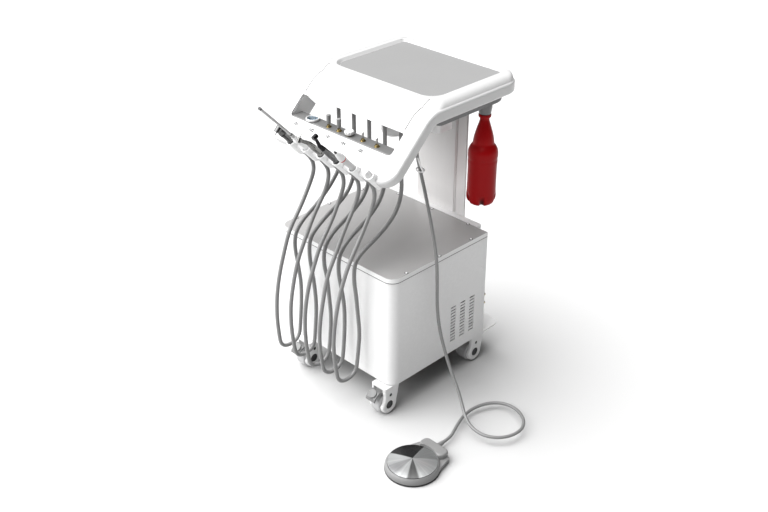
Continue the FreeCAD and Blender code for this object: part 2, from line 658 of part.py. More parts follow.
# ---------------------------------------------------------------- holders
def make_holders():
    """Six open cradles on one rail behind the lip, and the hook that carries the pedal hose."""
    pieces = []
    for x in STATION_X:
        tube = rod(CRADLE_R, V(x, -STATION_U, -38), V(x, -STATION_U, 16))
        pieces.append(tube)
    bar = box(STATION_X[0] - 16, STATION_X[-1] + 12, -STATION_U + 11.5, -STATION_U + 19, -29, -14)
    rail = joined(pieces + [bar])
    bores = [rod(CRADLE_BORE, V(x, -STATION_U, -60), V(x, -STATION_U, 40)) for x in STATION_X]
    mouths = []
    for x in STATION_X:
        mouth = box(x - 9.5, x + 9.5, -STATION_U, -STATION_U + 30, 1.0, 40)
        mouths.append(mouth)
    rail = rail.cut(Part.makeCompound(bores)).cut(Part.makeCompound(mouths))
    keep("holder_rail", on_panel(rail))

    eye = V(*PEDAL_HOSE[2])
    route = [V(203, -84, 738), V(198, -66, 704), eye + V(12.5, -3, 1)]
    stalk = [rod(2.0, route[0], route[1]), rod(2.0, route[1], route[2])]
    knuckles = [Part.makeSphere(2.0, corner) for corner in route[1:]]
    keep("hose_hook", joined(stalk + knuckles + [hook_ring(eye)]))


def hook_ring(centre):
    """A flat ring that the pedal hose hangs through."""
    loop = Part.makeTorus(10.5, 2.0, V(0, 0, 0), V(0, 0, 1))
    loop.Placement = FreeCAD.Placement(centre, FreeCAD.Rotation(V(0, 0, 1), V(0.2, 0.03, 1)))
    return loop


# ---------------------------------------------------------------- handpieces
TAIL = -52.0           # tail end of each handpiece along its axis, behind the panel face


def along(station, profile):
    """A handpiece body turned about a station's axis: (radius, distance outwards)."""
    return turned(profile, panel_point(STATION_X[station], STATION_U, 0), PANEL_OUT)


def station_point(station, out, side=0.0, up=0.0):
    """A point beside a station's axis: outwards, across and up the slope."""
    return panel_point(STATION_X[station] + side, STATION_U - up, out)


def tail_nut(w=TAIL):
    """Profile of the connector every handpiece screws into, from its tail."""
    return [(0, w), (6.0, w), (7.0, w + 2), (7.0, w + 16), (8.2, w + 17), (8.2, w + 24)]


def make_handpieces():
    """Motor, suction handle, contra-angle, turbine and scaler, each on its own axis."""
    motor = along(0, tail_nut() + [
        (9.4, -26), (9.4, 8), (8.4, 10), (8.4, 44), ((9.2, 54), (8.0, 64)), (6.5, 68), (0, 68),
    ])
    top = rod(8.6, station_point(0, 73, 0, -8), station_point(0, 73, 0, 11))
    button = rod(5.5, station_point(0, 73, 0, 10), station_point(0, 73, 0, 14))
    bur = rod(1.2, station_point(0, 73, 0, -16), station_point(0, 73, 0, -7))
    keep("handpiece_1_motor", motor.fuse(top).fuse(button).fuse(bur))

    handle = along(1, tail_nut() + [
        (9.5, -26), (9.5, 10), (8.0, 14), (8.0, 48), (9.0, 50), (9.0, 62), (6.5, 64), (6.5, 72), (0, 72),
    ])
    pin = rod(1.6, station_point(1, 56, -7, 8), station_point(1, 56, 7, 8))
    thumb = rod(3.0, station_point(1, 56, 0, 8), station_point(1, 56, 0, 13))
    keep("handpiece_2_suction", joined([handle, pin, thumb]))
    keep("handpiece_2_straw", along(1, [
        (0, 72.1), (5.2, 72.1), (5.2, 84), (3.4, 86), (3.4, 212), (4.0, 213),
        (4.0, 220), (1.8, 221), (1.8, 86), (0, 86),
    ]))

    shank = along(2, tail_nut() + [
        (9.5, -26), (9.5, 12), (9.0, 14), (9.0, 22), (7.8, 24), (8.2, 52), (7.0, 68), (5.6, 76), (0, 76),
    ])
    knee = station_point(2, 74)
    tip = station_point(2, 106, 0, -9)
    neck = Part.makeCone(5.6, 4.6, (tip - knee).Length, knee, tip - knee)
    bend = Part.makeSphere(5.6, knee)
    across = (tip - knee).normalize().cross(V(1, 0, 0))
    head = rod(5.2, tip - across * 6.5, tip + across * 6.5)
    bur = rod(0.9, tip + across * 6, tip + across * 16)
    keep("handpiece_3_contra_angle", joined([shank, bend, neck, head, bur]))

    grip = along(3, tail_nut() + [(9.0, -26), (9.0, -4), (8.4, -2), (8.6, 30), (7.2, 78), (5.4, 96), (0, 96)])
    knee = station_point(3, 94)
    tip = station_point(3, 124, 0, 9)
    neck = Part.makeCone(5.2, 3.6, (tip - knee).Length, knee, tip - knee)
    bend = Part.makeSphere(5.4, knee)
    across = (tip - knee).normalize().cross(V(1, 0, 0))
    head = rod(6.4, tip - across * 6.6, tip + across * 6.6)
    cap = rod(5.0, tip + across * 6.5, tip + across * 8.0)
    keep("handpiece_4_turbine", joined([grip, bend, neck, head, cap]))

    keep("handpiece_5_handle", along(4, tail_nut() + [
        (9.2, -26), (9.2, -2), (8.2, 0), (8.0, 50), (9.0, 60), (9.6, 62),
        (9.6, 65), (6.0, 65), (6.0, 72), (0, 72),
    ]))
    keep("handpiece_5_nose", along(4, [
        (6.0, 65.1), (9.8, 65.1), ((8.9, 76), (6.2, 88)), (4.4, 94), (2.9, 94.5), (2.6, 101), (0, 101.5),
        (0, 72.1), (6.0, 72.1),
    ]))


# ---------------------------------------------------------------- water bottle
def make_bottle():
    """Water bottle that screws up into the cap under the pan."""
    z0, zn, r = BOTTLE_BOT, BOTTLE_NECK, BOTTLE_R
    profile = [
        (0, z0 + 5), (19, z0 + 1.5), ((25, z0), (30, z0 + 1.2)), ((r - 2, z0 + 7.5), (r + 0.8, z0 + 19)),
        (r + 0.6, z0 + 27), (r - 0.6, z0 + 52), (r - 0.6, z0 + 108), (r + 0.8, z0 + 138),
        ((r + 1.0, z0 + 150), (r - 0.6, z0 + 159)), ((r - 5.6, z0 + 170), (r - 12.0, z0 + 177)),
        (r - 12.8, z0 + 184), ((21.4, z0 + 213), (12.8, z0 + 239)), (12.6, zn - 1), (12.6, zn + 5),
        (16.8, zn + 6), (17.2, zn + 7), (17.2, zn + 12.2), (16.6, zn + 13.2), (11.2, zn + 13.4),
        (11.2, zn + 22), (0, zn + 22),
    ]
    bottle = turned(profile, V(BOTTLE_X, BOTTLE_Y, 0))
    grooves = []
    for k in range(5):
        a = math.radians(72 * k - 45)
        axis = V(math.cos(a), math.sin(a), 0)
        middle = V(BOTTLE_X, BOTTLE_Y, z0)
        grooves.append(rod(5.0, middle + axis * 10 - V(0, 0, 3.5), middle + axis * 47 + V(0, 0, 7.5)))
    keep("water_bottle", bottle.cut(Part.makeCompound(grooves)))

    cap = turned([
        (11.7, zn + 14.0), (15.6, zn + 14.0), (16.2, zn + 15), (19.0, PAN_BOT - 8), (19.0, PAN_BOT - 0.2),
        (9.0, PAN_BOT - 0.2), (9.0, PAN_BOT + 6), (4.0, PAN_BOT + 6), (4.0, zn + 26), (11.7, zn + 26),
    ], V(BOTTLE_X, BOTTLE_Y, 0))
    keep("bottle_cap", cap)


# ---------------------------------------------------------------- foot control
HOUSE_X0 = 375.0       # hinge bar across the foot control
HOUSE_X1 = 459.0
HOUSE_Y0 = -250.0
HOUSE_Y1 = -214.5
HOUSE_TOP = 31.0
SKIRT_CORNERS = ((366.0, -231.0), (465.0, -222.0))   # lower flange under the bar
SKIRT_TOP = 16.0


def tangent_point(corner, side):
    """Point just inside the base where a straight line from the corner touches a circle."""
    inner = PEDAL_R - 4.0
    reach = V(corner[0] - PEDAL_X, corner[1] - PEDAL_Y, 0)
    swing = math.acos(inner / reach.Length)
    angle = math.atan2(reach.y, reach.x) + side * swing
    return PEDAL_X + inner * math.cos(angle), PEDAL_Y + inner * math.sin(angle)


def make_pedal():
    """Round foot control: rubber foot, base with hinge bar and flange, and the chromed shallow cone."""
    at = V(PEDAL_X, PEDAL_Y, 0)
    low = PEDAL_FOOT + 0.1
    foot = turned([(58, 0), (PEDAL_R - 1.0, 0), (PEDAL_R, 1.5), (PEDAL_R, PEDAL_FOOT), (58, PEDAL_FOOT)], at)
    keep("pedal_foot_ring", foot)
    well = DOME_R + 0.8
    base = turned([
        (0, low), (PEDAL_R - 0.6, low), (PEDAL_R - 0.4, 10.0), ((PEDAL_R - 1.6, 16.0), (PEDAL_R - 4.6, 20.5)),
        (well + 1.2, 22.0), (well, 22.0), (well, 11.0), (0, 11.0),
    ], at)
    house = plate(HOUSE_X0, HOUSE_X1, HOUSE_Y0, HOUSE_Y1, low, HOUSE_TOP, 15.0, 15.0)
    house = house.makeFillet(5.0, [e for e in house.Edges if e.BoundBox.ZMin > HOUSE_TOP - 0.1])
    left, right = SKIRT_CORNERS
    x0, y0 = tangent_point(left, 1)
    x1, y1 = tangent_point(right, -1)
    corners = [(x0, y0, 0.0), (x1, y1, 0.0), (right[0], right[1], 7.0), (left[0], left[1], 5.0)]
    skirt = prism(corners, low, SKIRT_TOP)
    reach = rod(well, V(PEDAL_X, PEDAL_Y, 11.0), V(PEDAL_X, PEDAL_Y, 50))
    profile = [(0, -2), (8.5, -2), (8.5, 3), (6.8, 6), (5.6, 24), (0, 24)]
    boot = turned(profile, V(PEDAL_HOSE_END[0], HOUSE_Y1, PEDAL_HOSE_END[2]), V(0, 1, 0))
    keep("pedal_base", joined([base, house.cut(reach), skirt.cut(reach), boot]))
    r, sheet = DOME_R, 2.0
    dome = turned([
        (r - sheet, 15.4), (r, 15.4), (r, 23.6), ((r * 0.55, 29.6), (2.0, 34.0)), (0, 34.0),
        (0, 34.0 - sheet), (2.0, 34.0 - sheet), ((r * 0.55, 29.6 - sheet), (r - sheet, 22.4)),
    ], at)
    keep("pedal_dome", dome)


# ---------------------------------------------------------------- casters
def cheek_outline(axle_y):
    """Side view of a caster's cheek: round about the axle, wide where it meets the crown."""
    low, front, rear = WHEEL_R, axle_y - CROWN_FRONT, axle_y + CROWN_REAR
    toe, heel = V(0, axle_y - CHEEK_R, low), V(0, axle_y + CHEEK_R, low)
    shoulder = V(0, front, FORK_TOP - 15)
    edges = [
        Part.Arc(toe, V(0, axle_y, low - CHEEK_R), heel).toShape(),
        Part.LineSegment(heel, V(0, rear, FORK_TOP)).toShape(),
        Part.LineSegment(V(0, rear, FORK_TOP), V(0, front, FORK_TOP)).toShape(),
        Part.LineSegment(V(0, front, FORK_TOP), shoulder).toShape(),
        Part.Arc(shoulder, V(0, axle_y - 18.0, low + 21), toe).toShape(),
    ]
    return Part.Wire(edges)


def make_cheek(x, outwards, axle_y):
    """One thick cheek of a caster, its outer rim rounded; outwards is the side it faces."""
    cheek = Part.Face(cheek_outline(axle_y)).extrude(V(CHEEK_T * outwards, 0, 0))
    cheek.translate(V(x, 0, 0))
    outer = x + CHEEK_T * outwards
    rim = []
    for edge in cheek.Edges:
        face_x = edge.BoundBox.XMin
        flat = edge.BoundBox.XLength < 0.01
        if flat and abs(face_x - outer) < 0.01 and edge.BoundBox.ZMin < FORK_TOP - 1:
            rim.append(edge)
    return cheek.makeFillet(4.5, rim)


def make_caster(name, stem_x, stem_y, braked):
    """Cheeked swivel fork on its kingpin, a broad wheel on its axle and, in front, a brake pedal."""
    axle_y = stem_y - CASTER_TRAIL
    half = CASTER_HALF
    inner = half - CHEEK_T
    left, right = stem_x - half, stem_x + half
    cheeks = [make_cheek(stem_x + side * inner, side, axle_y) for side in (-1, 1)]
    rear_y = axle_y + CROWN_REAR
    crown = box(left + 4, right - 4, axle_y - CROWN_FRONT, rear_y - 1.0, FORK_TOP - 5, FORK_TOP)
    rear = box(left + 4, right - 4, rear_y - 6, rear_y - 2.0, FORK_TOP - 22, FORK_TOP)
    fork = joined(cheeks + [crown, rear])
    for x in (left - 1, right - 1.5):
        fork = fork.cut(rod(13.2, V(x, axle_y, WHEEL_R), V(x + 2.5, axle_y, WHEEL_R)))
        fork = fork.cut(rod(5.2, V(x, axle_y + 4, WHEEL_R + 31), V(x + 2.5, axle_y + 4, WHEEL_R + 31)))
    axle = rod(5.0, V(left + 3, axle_y, WHEEL_R), V(right - 3, axle_y, WHEEL_R))
    kingpin = rod(5.0, V(stem_x, stem_y, FORK_TOP - 2), V(stem_x, stem_y, FORK_TOP + 6))
    pivot = V(stem_x, axle_y - 11, FORK_TOP - 14)
    pieces = [fork, axle, kingpin]
    if braked:
        pieces.append(rod(2.5, pivot - V(inner + 3, 0, 0), pivot + V(inner + 3, 0, 0)))
    keep("caster_fork_" + name, joined(pieces))

    side = WHEEL_HALF
    bore = 5.0 + RUN
    wheel = turned([
        (bore, -side), (10, -side), (12, -side + 3), (21, -side + 3), (23.5, -side), (27, -side),
        ((30.6, -side + 1.4), (WHEEL_R, -side + 5)), (WHEEL_R, side - 5), ((30.6, side - 1.4), (27, side)),
        (23.5, side), (21, side - 3), (12, side - 3), (10, side), (bore, side),
    ], V(stem_x, axle_y, WHEEL_R), V(1, 0, 0))
    keep("caster_wheel_" + name, wheel)

    if braked:
        span = inner - 0.6
        start = pivot - V(span, 0, 0)
        paddle = outline([
            (-3, 2, 0.0), (-20, 5, 3.0), (-37, -8, 3.0), (-40, -19, 2.0), (-35, -19, 1.5), (-31, -10, 3.0),
            (-18, -2, 3.0), (-3, -3, 0.0),
        ])
        pad = Part.Face(paddle).extrude(V(0, 0, 2 * span))
        pad.Placement = FreeCAD.Placement(start, FreeCAD.Rotation(V(1, 1, 1), 120))
        stop = V(stem_x, pivot.y - 24, pivot.z - 9)
        lift = rod(12.5, stop, stop + V(0, -7.0, 12.0))
        lever = joined([pad, rod(5.5, start, pivot + V(span, 0, 0)), lift])
        keep("caster_brake_" + name, lever.cut(rod(2.5 + RUN, pivot - V(half, 0, 0), pivot + V(half, 0, 0))))
    flange = rod(16.0, V(stem_x, stem_y, FORK_TOP + 0.35), V(stem_x, stem_y, CAB_Z0 - 0.02))
    sleeve = rod(SLEEVE_R, V(stem_x, stem_y, FORK_TOP + 0.35), V(stem_x, stem_y, CAB_Z0 + BASE_T))
    bore = rod(5.0 + RUN, V(stem_x, stem_y, 80), V(stem_x, stem_y, FORK_TOP + 15))
    return joined([flange, sleeve]).cut(bore)


# ---------------------------------------------------------------- hoses
PEDAL_OUT_X = 165.0
PEDAL_HOSE_END = (411.5, HOUSE_Y1 + 24, 16.0)
PEDAL_HOSE = (
    (165, -52, HOSE_TOP), (165, -52, 740), (176, -45, 683), (196, -42, 612), (221, -44, 532),
    (241, -45, 452), (246, -45, 375), (247, -45, 305), (258, -46, 238), (286, -50, 172),
    (321, -57, 120), (354, -67, 86), (378, -78, 60), (401, -92, 42), (434, -107, 34),
    (474, -107, 28), (508, -87, 26), (530, -53, 26), (534, -12, 26), (514, 24, 25),
    (474, 48, 24), (430, 49, 23), (395, 23, 22), (377, -20, 20), (375, -61, 17),
    (385, -95, 16), (399, -131, 16), (411.5, -160, 16), PEDAL_HOSE_END,
)
# (y, z) points shared by every loop, and what each loop adds to them
LOOP = (
    (HOSE_Y, HOSE_TOP), (HOSE_Y, 735), (-51, 665), (-52, 596), (-74, 553),
    (-112, 526), (-152, 506), (-192, 485), (-220, 456), (-226, 412),
    (-217, 352), (-209, 290), (-207, 228), (-213, 165), (-221, 98),
    (-288, 98), (-298, 165), (-301, 222), (-298, 286), (-285, 350),
    (-264, 412), (-236, 468), (-200, 524), (-162, 578), (-145, 618),
)
LOOP_ADDS = (
    {4: (-6, 8), 5: (-4, 4), 9: (-1, 4), 12: (-4, 0), 13: (-4, 8), 14: (-4, 8), 15: (-4, 8),
     16: (-2, 8), 17: (-1, 4), 21: (-6, 4), 23: (-4, 0)},
    {6: (1, 3), 8: (-1, 3), 13: (0, 2), 14: (0, 2), 15: (1, 2), 16: (1, 2), 18: (-1, -2),
     20: (-2, 0), 22: (-2, 4)},
    {7: (1, 2), 10: (3, 3), 12: (3, 0), 13: (3, -4), 14: (2, -5), 15: (3, -5), 16: (1, -5),
     17: (0, 2), 20: (2, -2), 22: (5, -4), 24: (1, -2)},
    {4: (0, 3), 9: (-1, 0), 11: (2, 4), 13: (1, 1), 14: (1, 1), 15: (2, 1), 16: (1, 1),
     18: (2, -4), 19: (4, 0), 21: (4, -2), 23: (1, 2)},
    {3: (6, 2), 4: (8, -4), 5: (10, -8), 6: (7, -10), 7: (2, -8), 9: (1, -6), 11: (-3, 0),
     12: (1, 0), 13: (0, 3), 14: (-1, 3), 15: (0, 3), 16: (0, 3), 17: (-2, 2), 22: (4, 0)},
)


def loop_points(station):
    """Route of one handpiece hose: down behind the panel, forward, round and back to its tail."""
    end = station_point(station, TAIL)
    before = station_point(station, TAIL - 34)
    points = []
    for index, (y, z) in enumerate(LOOP):
        dy, dz = LOOP_ADDS[station].get(index, (0, 0))
        points.append(V(STATION_X[station], y + dy, z + dz))
    return points + [before, end]


def hose(name, points, diameter):
    """Round tube through the points: straight runs joined by tangent arcs."""
    edges = []
    here = points[0]
    radii = []
    for i in range(1, len(points) - 1):
        back = points[i - 1] - points[i]
        ahead = points[i + 1] - points[i]
        turn = math.pi - back.getAngle(ahead)
        reach = 0.45 * min(back.Length, ahead.Length)
        radius = reach / math.tan(turn / 2)
        radii.append(radius)
        back.normalize()
        ahead.normalize()
        start = points[i] + back * reach
        end = points[i] + ahead * reach
        inward = (back + ahead).normalize()
        middle = points[i] + inward * (radius / math.cos(turn / 2) - radius)
        if (start - here).Length > 1e-6:
            edges.append(Part.LineSegment(here, start).toShape())
        edges.append(Part.Arc(start, middle, end).toShape())
        here = end
    edges.append(Part.LineSegment(here, points[-1]).toShape())
    spine = Part.Wire(edges)
    section = Part.Wire(Part.makeCircle(diameter / 2, points[0], points[1] - points[0]))
    tube = spine.makePipeShell([section], True, True)
    print(f"{name}: length {spine.Length:.0f} mm, bends {min(radii):.0f} to {max(radii):.0f} mm")
    print("   bends", " ".join(f"{r:.0f}" for r in radii))
    keep(name, tube)


def make_hoses():
    """Five handpiece hoses and the foot control's hose."""
    for station in range(5):
        hose(f"hose_{station + 1}", loop_points(station), HOSE_D)
    hose("pedal_hose", [V(*p) for p in PEDAL_HOSE], PEDAL_HOSE_D)


# ---------------------------------------------------------------- build and write
def main():
    """Make every sub-part, then write one STEP file for each."""
    make_cabinet()
    make_services()
    make_inside()
    make_column()
    make_head()
    make_under_head()
    make_controls()
    make_holders()
    make_handpieces()
    make_bottle()
    make_pedal()
    sockets = []
    for name, (stem_x, stem_y, braked) in CASTERS.items():
        sockets.append(make_caster(name, stem_x, stem_y, braked))
    keep("caster_sockets", Part.makeCompound(sockets))
    make_hoses()

    os.makedirs("parts", exist_ok=True)
    for name, shape in SOLIDS.items():
        shape.exportStep(f"parts/{name}.step")
        state = "valid" if shape.isValid() else "NOT VALID"
        print(f"{name:28s} {len(shape.Solids)} solids {state} {shape.Volume / 1000:9.1f} cm3")
    print(len(SOLIDS), "parts")


main()
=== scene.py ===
"""Portable dental unit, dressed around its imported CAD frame.

Laid out as an add-on: one operator for each group of pieces, one for the stage, and one panel.
Lengths are metres in the frame's own axes, +X to the bottle, -Y to the operator and +Z up, except
where a comment says millimetres.
"""

import json
import math
from collections import namedtuple

import bmesh
import bpy
import numpy as np
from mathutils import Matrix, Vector

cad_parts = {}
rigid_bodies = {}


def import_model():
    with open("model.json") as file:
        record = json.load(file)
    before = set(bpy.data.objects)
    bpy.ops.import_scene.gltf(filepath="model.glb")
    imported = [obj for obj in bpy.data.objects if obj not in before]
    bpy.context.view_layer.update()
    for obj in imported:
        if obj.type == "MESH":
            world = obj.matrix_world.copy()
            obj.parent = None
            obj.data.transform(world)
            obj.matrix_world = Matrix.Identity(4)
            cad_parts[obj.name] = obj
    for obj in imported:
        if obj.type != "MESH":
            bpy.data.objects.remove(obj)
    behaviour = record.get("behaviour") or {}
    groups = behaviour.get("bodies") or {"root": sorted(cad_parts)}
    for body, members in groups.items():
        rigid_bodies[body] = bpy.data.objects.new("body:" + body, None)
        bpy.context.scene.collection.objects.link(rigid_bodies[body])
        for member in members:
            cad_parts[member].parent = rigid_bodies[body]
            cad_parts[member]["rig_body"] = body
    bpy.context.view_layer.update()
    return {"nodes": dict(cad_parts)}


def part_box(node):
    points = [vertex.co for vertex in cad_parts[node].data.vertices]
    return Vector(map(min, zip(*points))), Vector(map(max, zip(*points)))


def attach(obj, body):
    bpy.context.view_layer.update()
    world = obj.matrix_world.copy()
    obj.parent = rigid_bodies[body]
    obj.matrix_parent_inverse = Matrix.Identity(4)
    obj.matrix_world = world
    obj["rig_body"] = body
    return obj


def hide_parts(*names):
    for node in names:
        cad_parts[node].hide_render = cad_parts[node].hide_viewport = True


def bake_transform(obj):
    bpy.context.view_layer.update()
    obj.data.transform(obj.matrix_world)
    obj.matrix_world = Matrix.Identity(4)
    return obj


bl_info = {
    "name": "Portable dental unit",
    "version": (1, 0, 0),
    "blender": (4, 5, 0),
    "location": "3D View > Sidebar > Dental unit",
    "description": "Finishes the dental unit's frame with hoses, trim and materials",
    "category": "Object",
}

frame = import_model()
MM = 0.001
UP = (0.0, 0.0, 1.0)
ORIGIN = (0.0, 0.0, 0.0)


# ------------------------------------------------------------------ settings
TINT = {"subtype": "COLOR", "size": 3, "min": 0, "max": 1}
LENGTH = {"subtype": "DISTANCE", "unit": "LENGTH"}


class DentalUnitFinish(bpy.types.PropertyGroup):
    """Colours of the finishes, linear."""

    shell_white: bpy.props.FloatVectorProperty(
        name="Moulded white", description="Instrument head's shell and fascia",
        default=(0.54, 0.54, 0.54), **TINT)
    powder_white: bpy.props.FloatVectorProperty(
        name="Cabinet white", description="Powder coat of the cabinet's sheet metal",
        default=(0.76, 0.76, 0.76), **TINT)
    plate_grey: bpy.props.FloatVectorProperty(
        name="Top plate grey", description="Powder coat of the cabinet's top plate",
        default=(0.34, 0.335, 0.333), **TINT)
    mat_grey: bpy.props.FloatVectorProperty(
        name="Tray mat grey", description="Soft mat in the dished top",
        default=(0.215, 0.215, 0.215), **TINT)
    hose_grey: bpy.props.FloatVectorProperty(
        name="Hose grey", description="Jacket of the handpiece and foot control hoses",
        default=(0.192, 0.192, 0.192), **TINT)
    trim_grey: bpy.props.FloatVectorProperty(
        name="Trim grey", description="Bottle cap, foot control's base and the first two toggles",
        default=(0.14, 0.14, 0.14), **TINT)
    bottle_red: bpy.props.FloatVectorProperty(
        name="Bottle red", description="Tinted plastic of the water bottle",
        default=(0.34, 0.0035, 0.005), **TINT)


class DentalUnitSizes(bpy.types.PropertyGroup):
    """Sizes that a user may change."""

    hose_diameter: bpy.props.FloatProperty(
        name="Handpiece hose", description="Outside diameter of a handpiece hose",
        min=0.004, max=0.014, default=0.011, **LENGTH)
    pedal_hose_diameter: bpy.props.FloatProperty(
        name="Foot control hose", description="Outside diameter of the foot control's hose",
        min=0.004, max=0.014, default=0.009, **LENGTH)
    screw_head: bpy.props.FloatProperty(
        name="Screw head", description="Diameter of the sheet metal screws' heads",
        min=0.003, max=0.012, default=0.0068, **LENGTH)
    number_height: bpy.props.FloatProperty(
        name="Number height", description="Height of the numbers under the controls",
        min=0.002, max=0.012, default=0.0082, **LENGTH)


# ------------------------------------------------------------------ surfaces
def grid_faces(rows, cols, close_cols=False):
    """Quads between neighbours on a rows by cols grid; closed columns join the last one to the first."""
    i, j = np.meshgrid(np.arange(rows - 1), np.arange(cols - (not close_cols)), indexing="ij")
    here, below, right = i * cols, (i + 1) * cols, (j + 1) % cols
    return np.stack([here + j, here + right, below + right, below + j], axis=-1).reshape(-1, 4)


def fan(pole, start, segments, inward=False):
    """Triangles that close a ring of points, numbered from start, with one pole point."""
    turn = range(segments)
    if inward:
        return [(pole, start + (k + 1) % segments, start + k) for k in turn]
    return [(pole, start + k, start + (k + 1) % segments) for k in turn]


def unit_vector(vector):
    """A vector as an array of length 1."""
    vector = np.asarray(vector, float)
    return vector / np.linalg.norm(vector)


def frame_about(axis):
    """Two unit vectors square to an axis and to each other."""
    axis = unit_vector(axis)
    helper = np.array([1.0, 0, 0]) if abs(axis[0]) < 0.9 else np.array([0, 1.0, 0])
    side = unit_vector(np.cross(axis, helper))
    return side, np.cross(axis, side)


def angles(segments):
    """Equal steps round a full circle."""
    return np.linspace(0, 2 * np.pi, segments, endpoint=False)


def turned(profile, origin, axis=UP, segments=64, swell=None):
    """Points and faces of a turned surface.

    A profile of (radius, height) is carried round the axis: point = origin + height * axis
    + radius * swell(angle, height) * (cos(angle) * u + sin(angle) * v). A zero radius is one pole point.
    """
    profile = np.asarray(profile, float)
    origin, axis = np.asarray(origin, float), unit_vector(axis)
    u, v = frame_about(axis)
    angle = angles(segments)
    poles = profile[:, 0] < 1e-9
    body = profile[~poles]
    radius = body[:, :1] * (swell(angle[None, :], body[:, 1:2]) if swell else np.ones((1, segments)))
    ring = np.cos(angle)[None, :, None] * u + np.sin(angle)[None, :, None] * v
    verts = (origin + body[:, 1][:, None, None] * axis + radius[..., None] * ring).reshape(-1, 3)
    faces = [tuple(f) for f in grid_faces(len(body), segments, close_cols=True)]
    for row, start in ((0, 0), (-1, (len(body) - 1) * segments)):
        if poles[row]:
            faces += fan(len(verts), start, segments, inward=row == 0)
            verts = np.vstack([verts, origin + profile[row, 1] * axis])
    return verts, faces


def carried(path, radius, segments):
    """Points and faces of a round section carried along a path.

    point = path + radius * (cos(angle) * side + sin(angle) * other). The side vector is turned from point
    to point without twist: each is the last one with its part along the new tangent taken out. Each end
    is closed by a pole point.
    """
    path = np.asarray(path, float)
    tangent = np.gradient(path, axis=0)
    tangent /= np.linalg.norm(tangent, axis=1)[:, None]
    side = np.empty_like(path)
    side[0] = frame_about(tangent[0])[0]
    for k in range(1, len(path)):
        side[k] = unit_vector(side[k - 1] - tangent[k] * np.dot(side[k - 1], tangent[k]))
    other = np.cross(tangent, side)
    angle = angles(segments)
    ring = np.cos(angle)[None, :, None] * side[:, None, :] + np.sin(angle)[None, :, None] * other[:, None, :]
    verts = np.vstack([(path[:, None, :] + radius * ring).reshape(-1, 3), path[0], path[-1]])
    count = len(path) * segments
    faces = [tuple(f) for f in grid_faces(len(path), segments, close_cols=True)]
    faces += fan(count, 0, segments, inward=True) + fan(count + 1, count - segments, segments)
    return verts, faces


def joined(parts):
    """Several (points, faces) pairs as one."""
    verts, faces, start = [], [], 0
    for points, quads in parts:
        verts.append(np.asarray(points, float).reshape(-1, 3))
        faces += [tuple(int(i) + start for i in face) for face in quads]
        start += len(verts[-1])
    return np.vstack(verts), faces


# ------------------------------------------------------------------ pieces
def link(name, data, body="unit"):
    """A new object for data, in the scene and riding on one of the frame's bodies."""
    obj = bpy.data.objects.new(name, data)
    bpy.context.scene.collection.objects.link(obj)
    if body:
        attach(obj, body)
    return obj


def mesh_from(name, verts, faces):
    """A mesh from an array of points and a list or array of faces, smooth-shaded."""
    mesh = bpy.data.meshes.new(name)
    mesh.from_pydata(np.asarray(verts, float).reshape(-1, 3).tolist(), [], [list(map(int, f)) for f in faces])
    mesh.validate()
    mesh.shade_smooth()
    return mesh


def prepared(mesh, finish, merge, sharp, flat=None):
    """Merges doubles, joins faces that are flat within an angle or else turns faces outwards, and shades."""
    bm = bmesh.new()
    bm.from_mesh(mesh)
    bmesh.ops.remove_doubles(bm, verts=bm.verts, dist=merge)
    if flat:
        bmesh.ops.dissolve_limit(bm, angle_limit=flat, verts=bm.verts, edges=bm.edges)
    else:
        bmesh.ops.recalc_face_normals(bm, faces=bm.faces)
    bm.to_mesh(mesh)
    bm.free()
    mesh.materials.clear()
    mesh.materials.append(material_of(finish))
    mesh.shade_smooth()
    mesh.set_sharp_from_angle(angle=sharp)
    return mesh


def piece(name, shape, finish, body="unit", sharp=35.0, replaces=()):
    """A new piece from its points and faces, with its finish, body and what it replaces."""
    mesh = prepared(mesh_from(name, *shape), finish, 1e-7, math.radians(sharp))
    obj = link(name, mesh, body)
    if replaces:
        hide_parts(*replaces)


def refined(node, finish, round_mm):
    """A merged copy of a CAD node with its flat faces joined, its edges rounded and its curves smooth."""
    name = node + "_finished"
    sharp, flat = math.radians(32.0), math.radians(0.4)
    source = frame["nodes"][node]
    mesh = source.data.copy()
    mesh.name = name
    obj = link(name, prepared(mesh, finish, 2e-6, sharp, flat), source["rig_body"])
    if round_mm:
        bevel = obj.modifiers.new("rounded edges", "BEVEL")
        bevel.width = round_mm * MM
        bevel.segments = 2
        bevel.limit_method = "ANGLE"
        bevel.angle_limit = sharp
        bevel.use_clamp_overlap = True
        bevel.harden_normals = False
    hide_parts(node)


def dress(node, finish):
    """Gives a CAD node that stays a procedural material."""
    mesh = frame["nodes"][node].data
    mesh.materials.clear()
    mesh.materials.append(material_of(finish))


def foot_of(node):
    """The point on the floor below the middle of a CAD node's box."""
    low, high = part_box(node)
    return (low.x + high.x) / 2, (low.y + high.y) / 2, 0.0


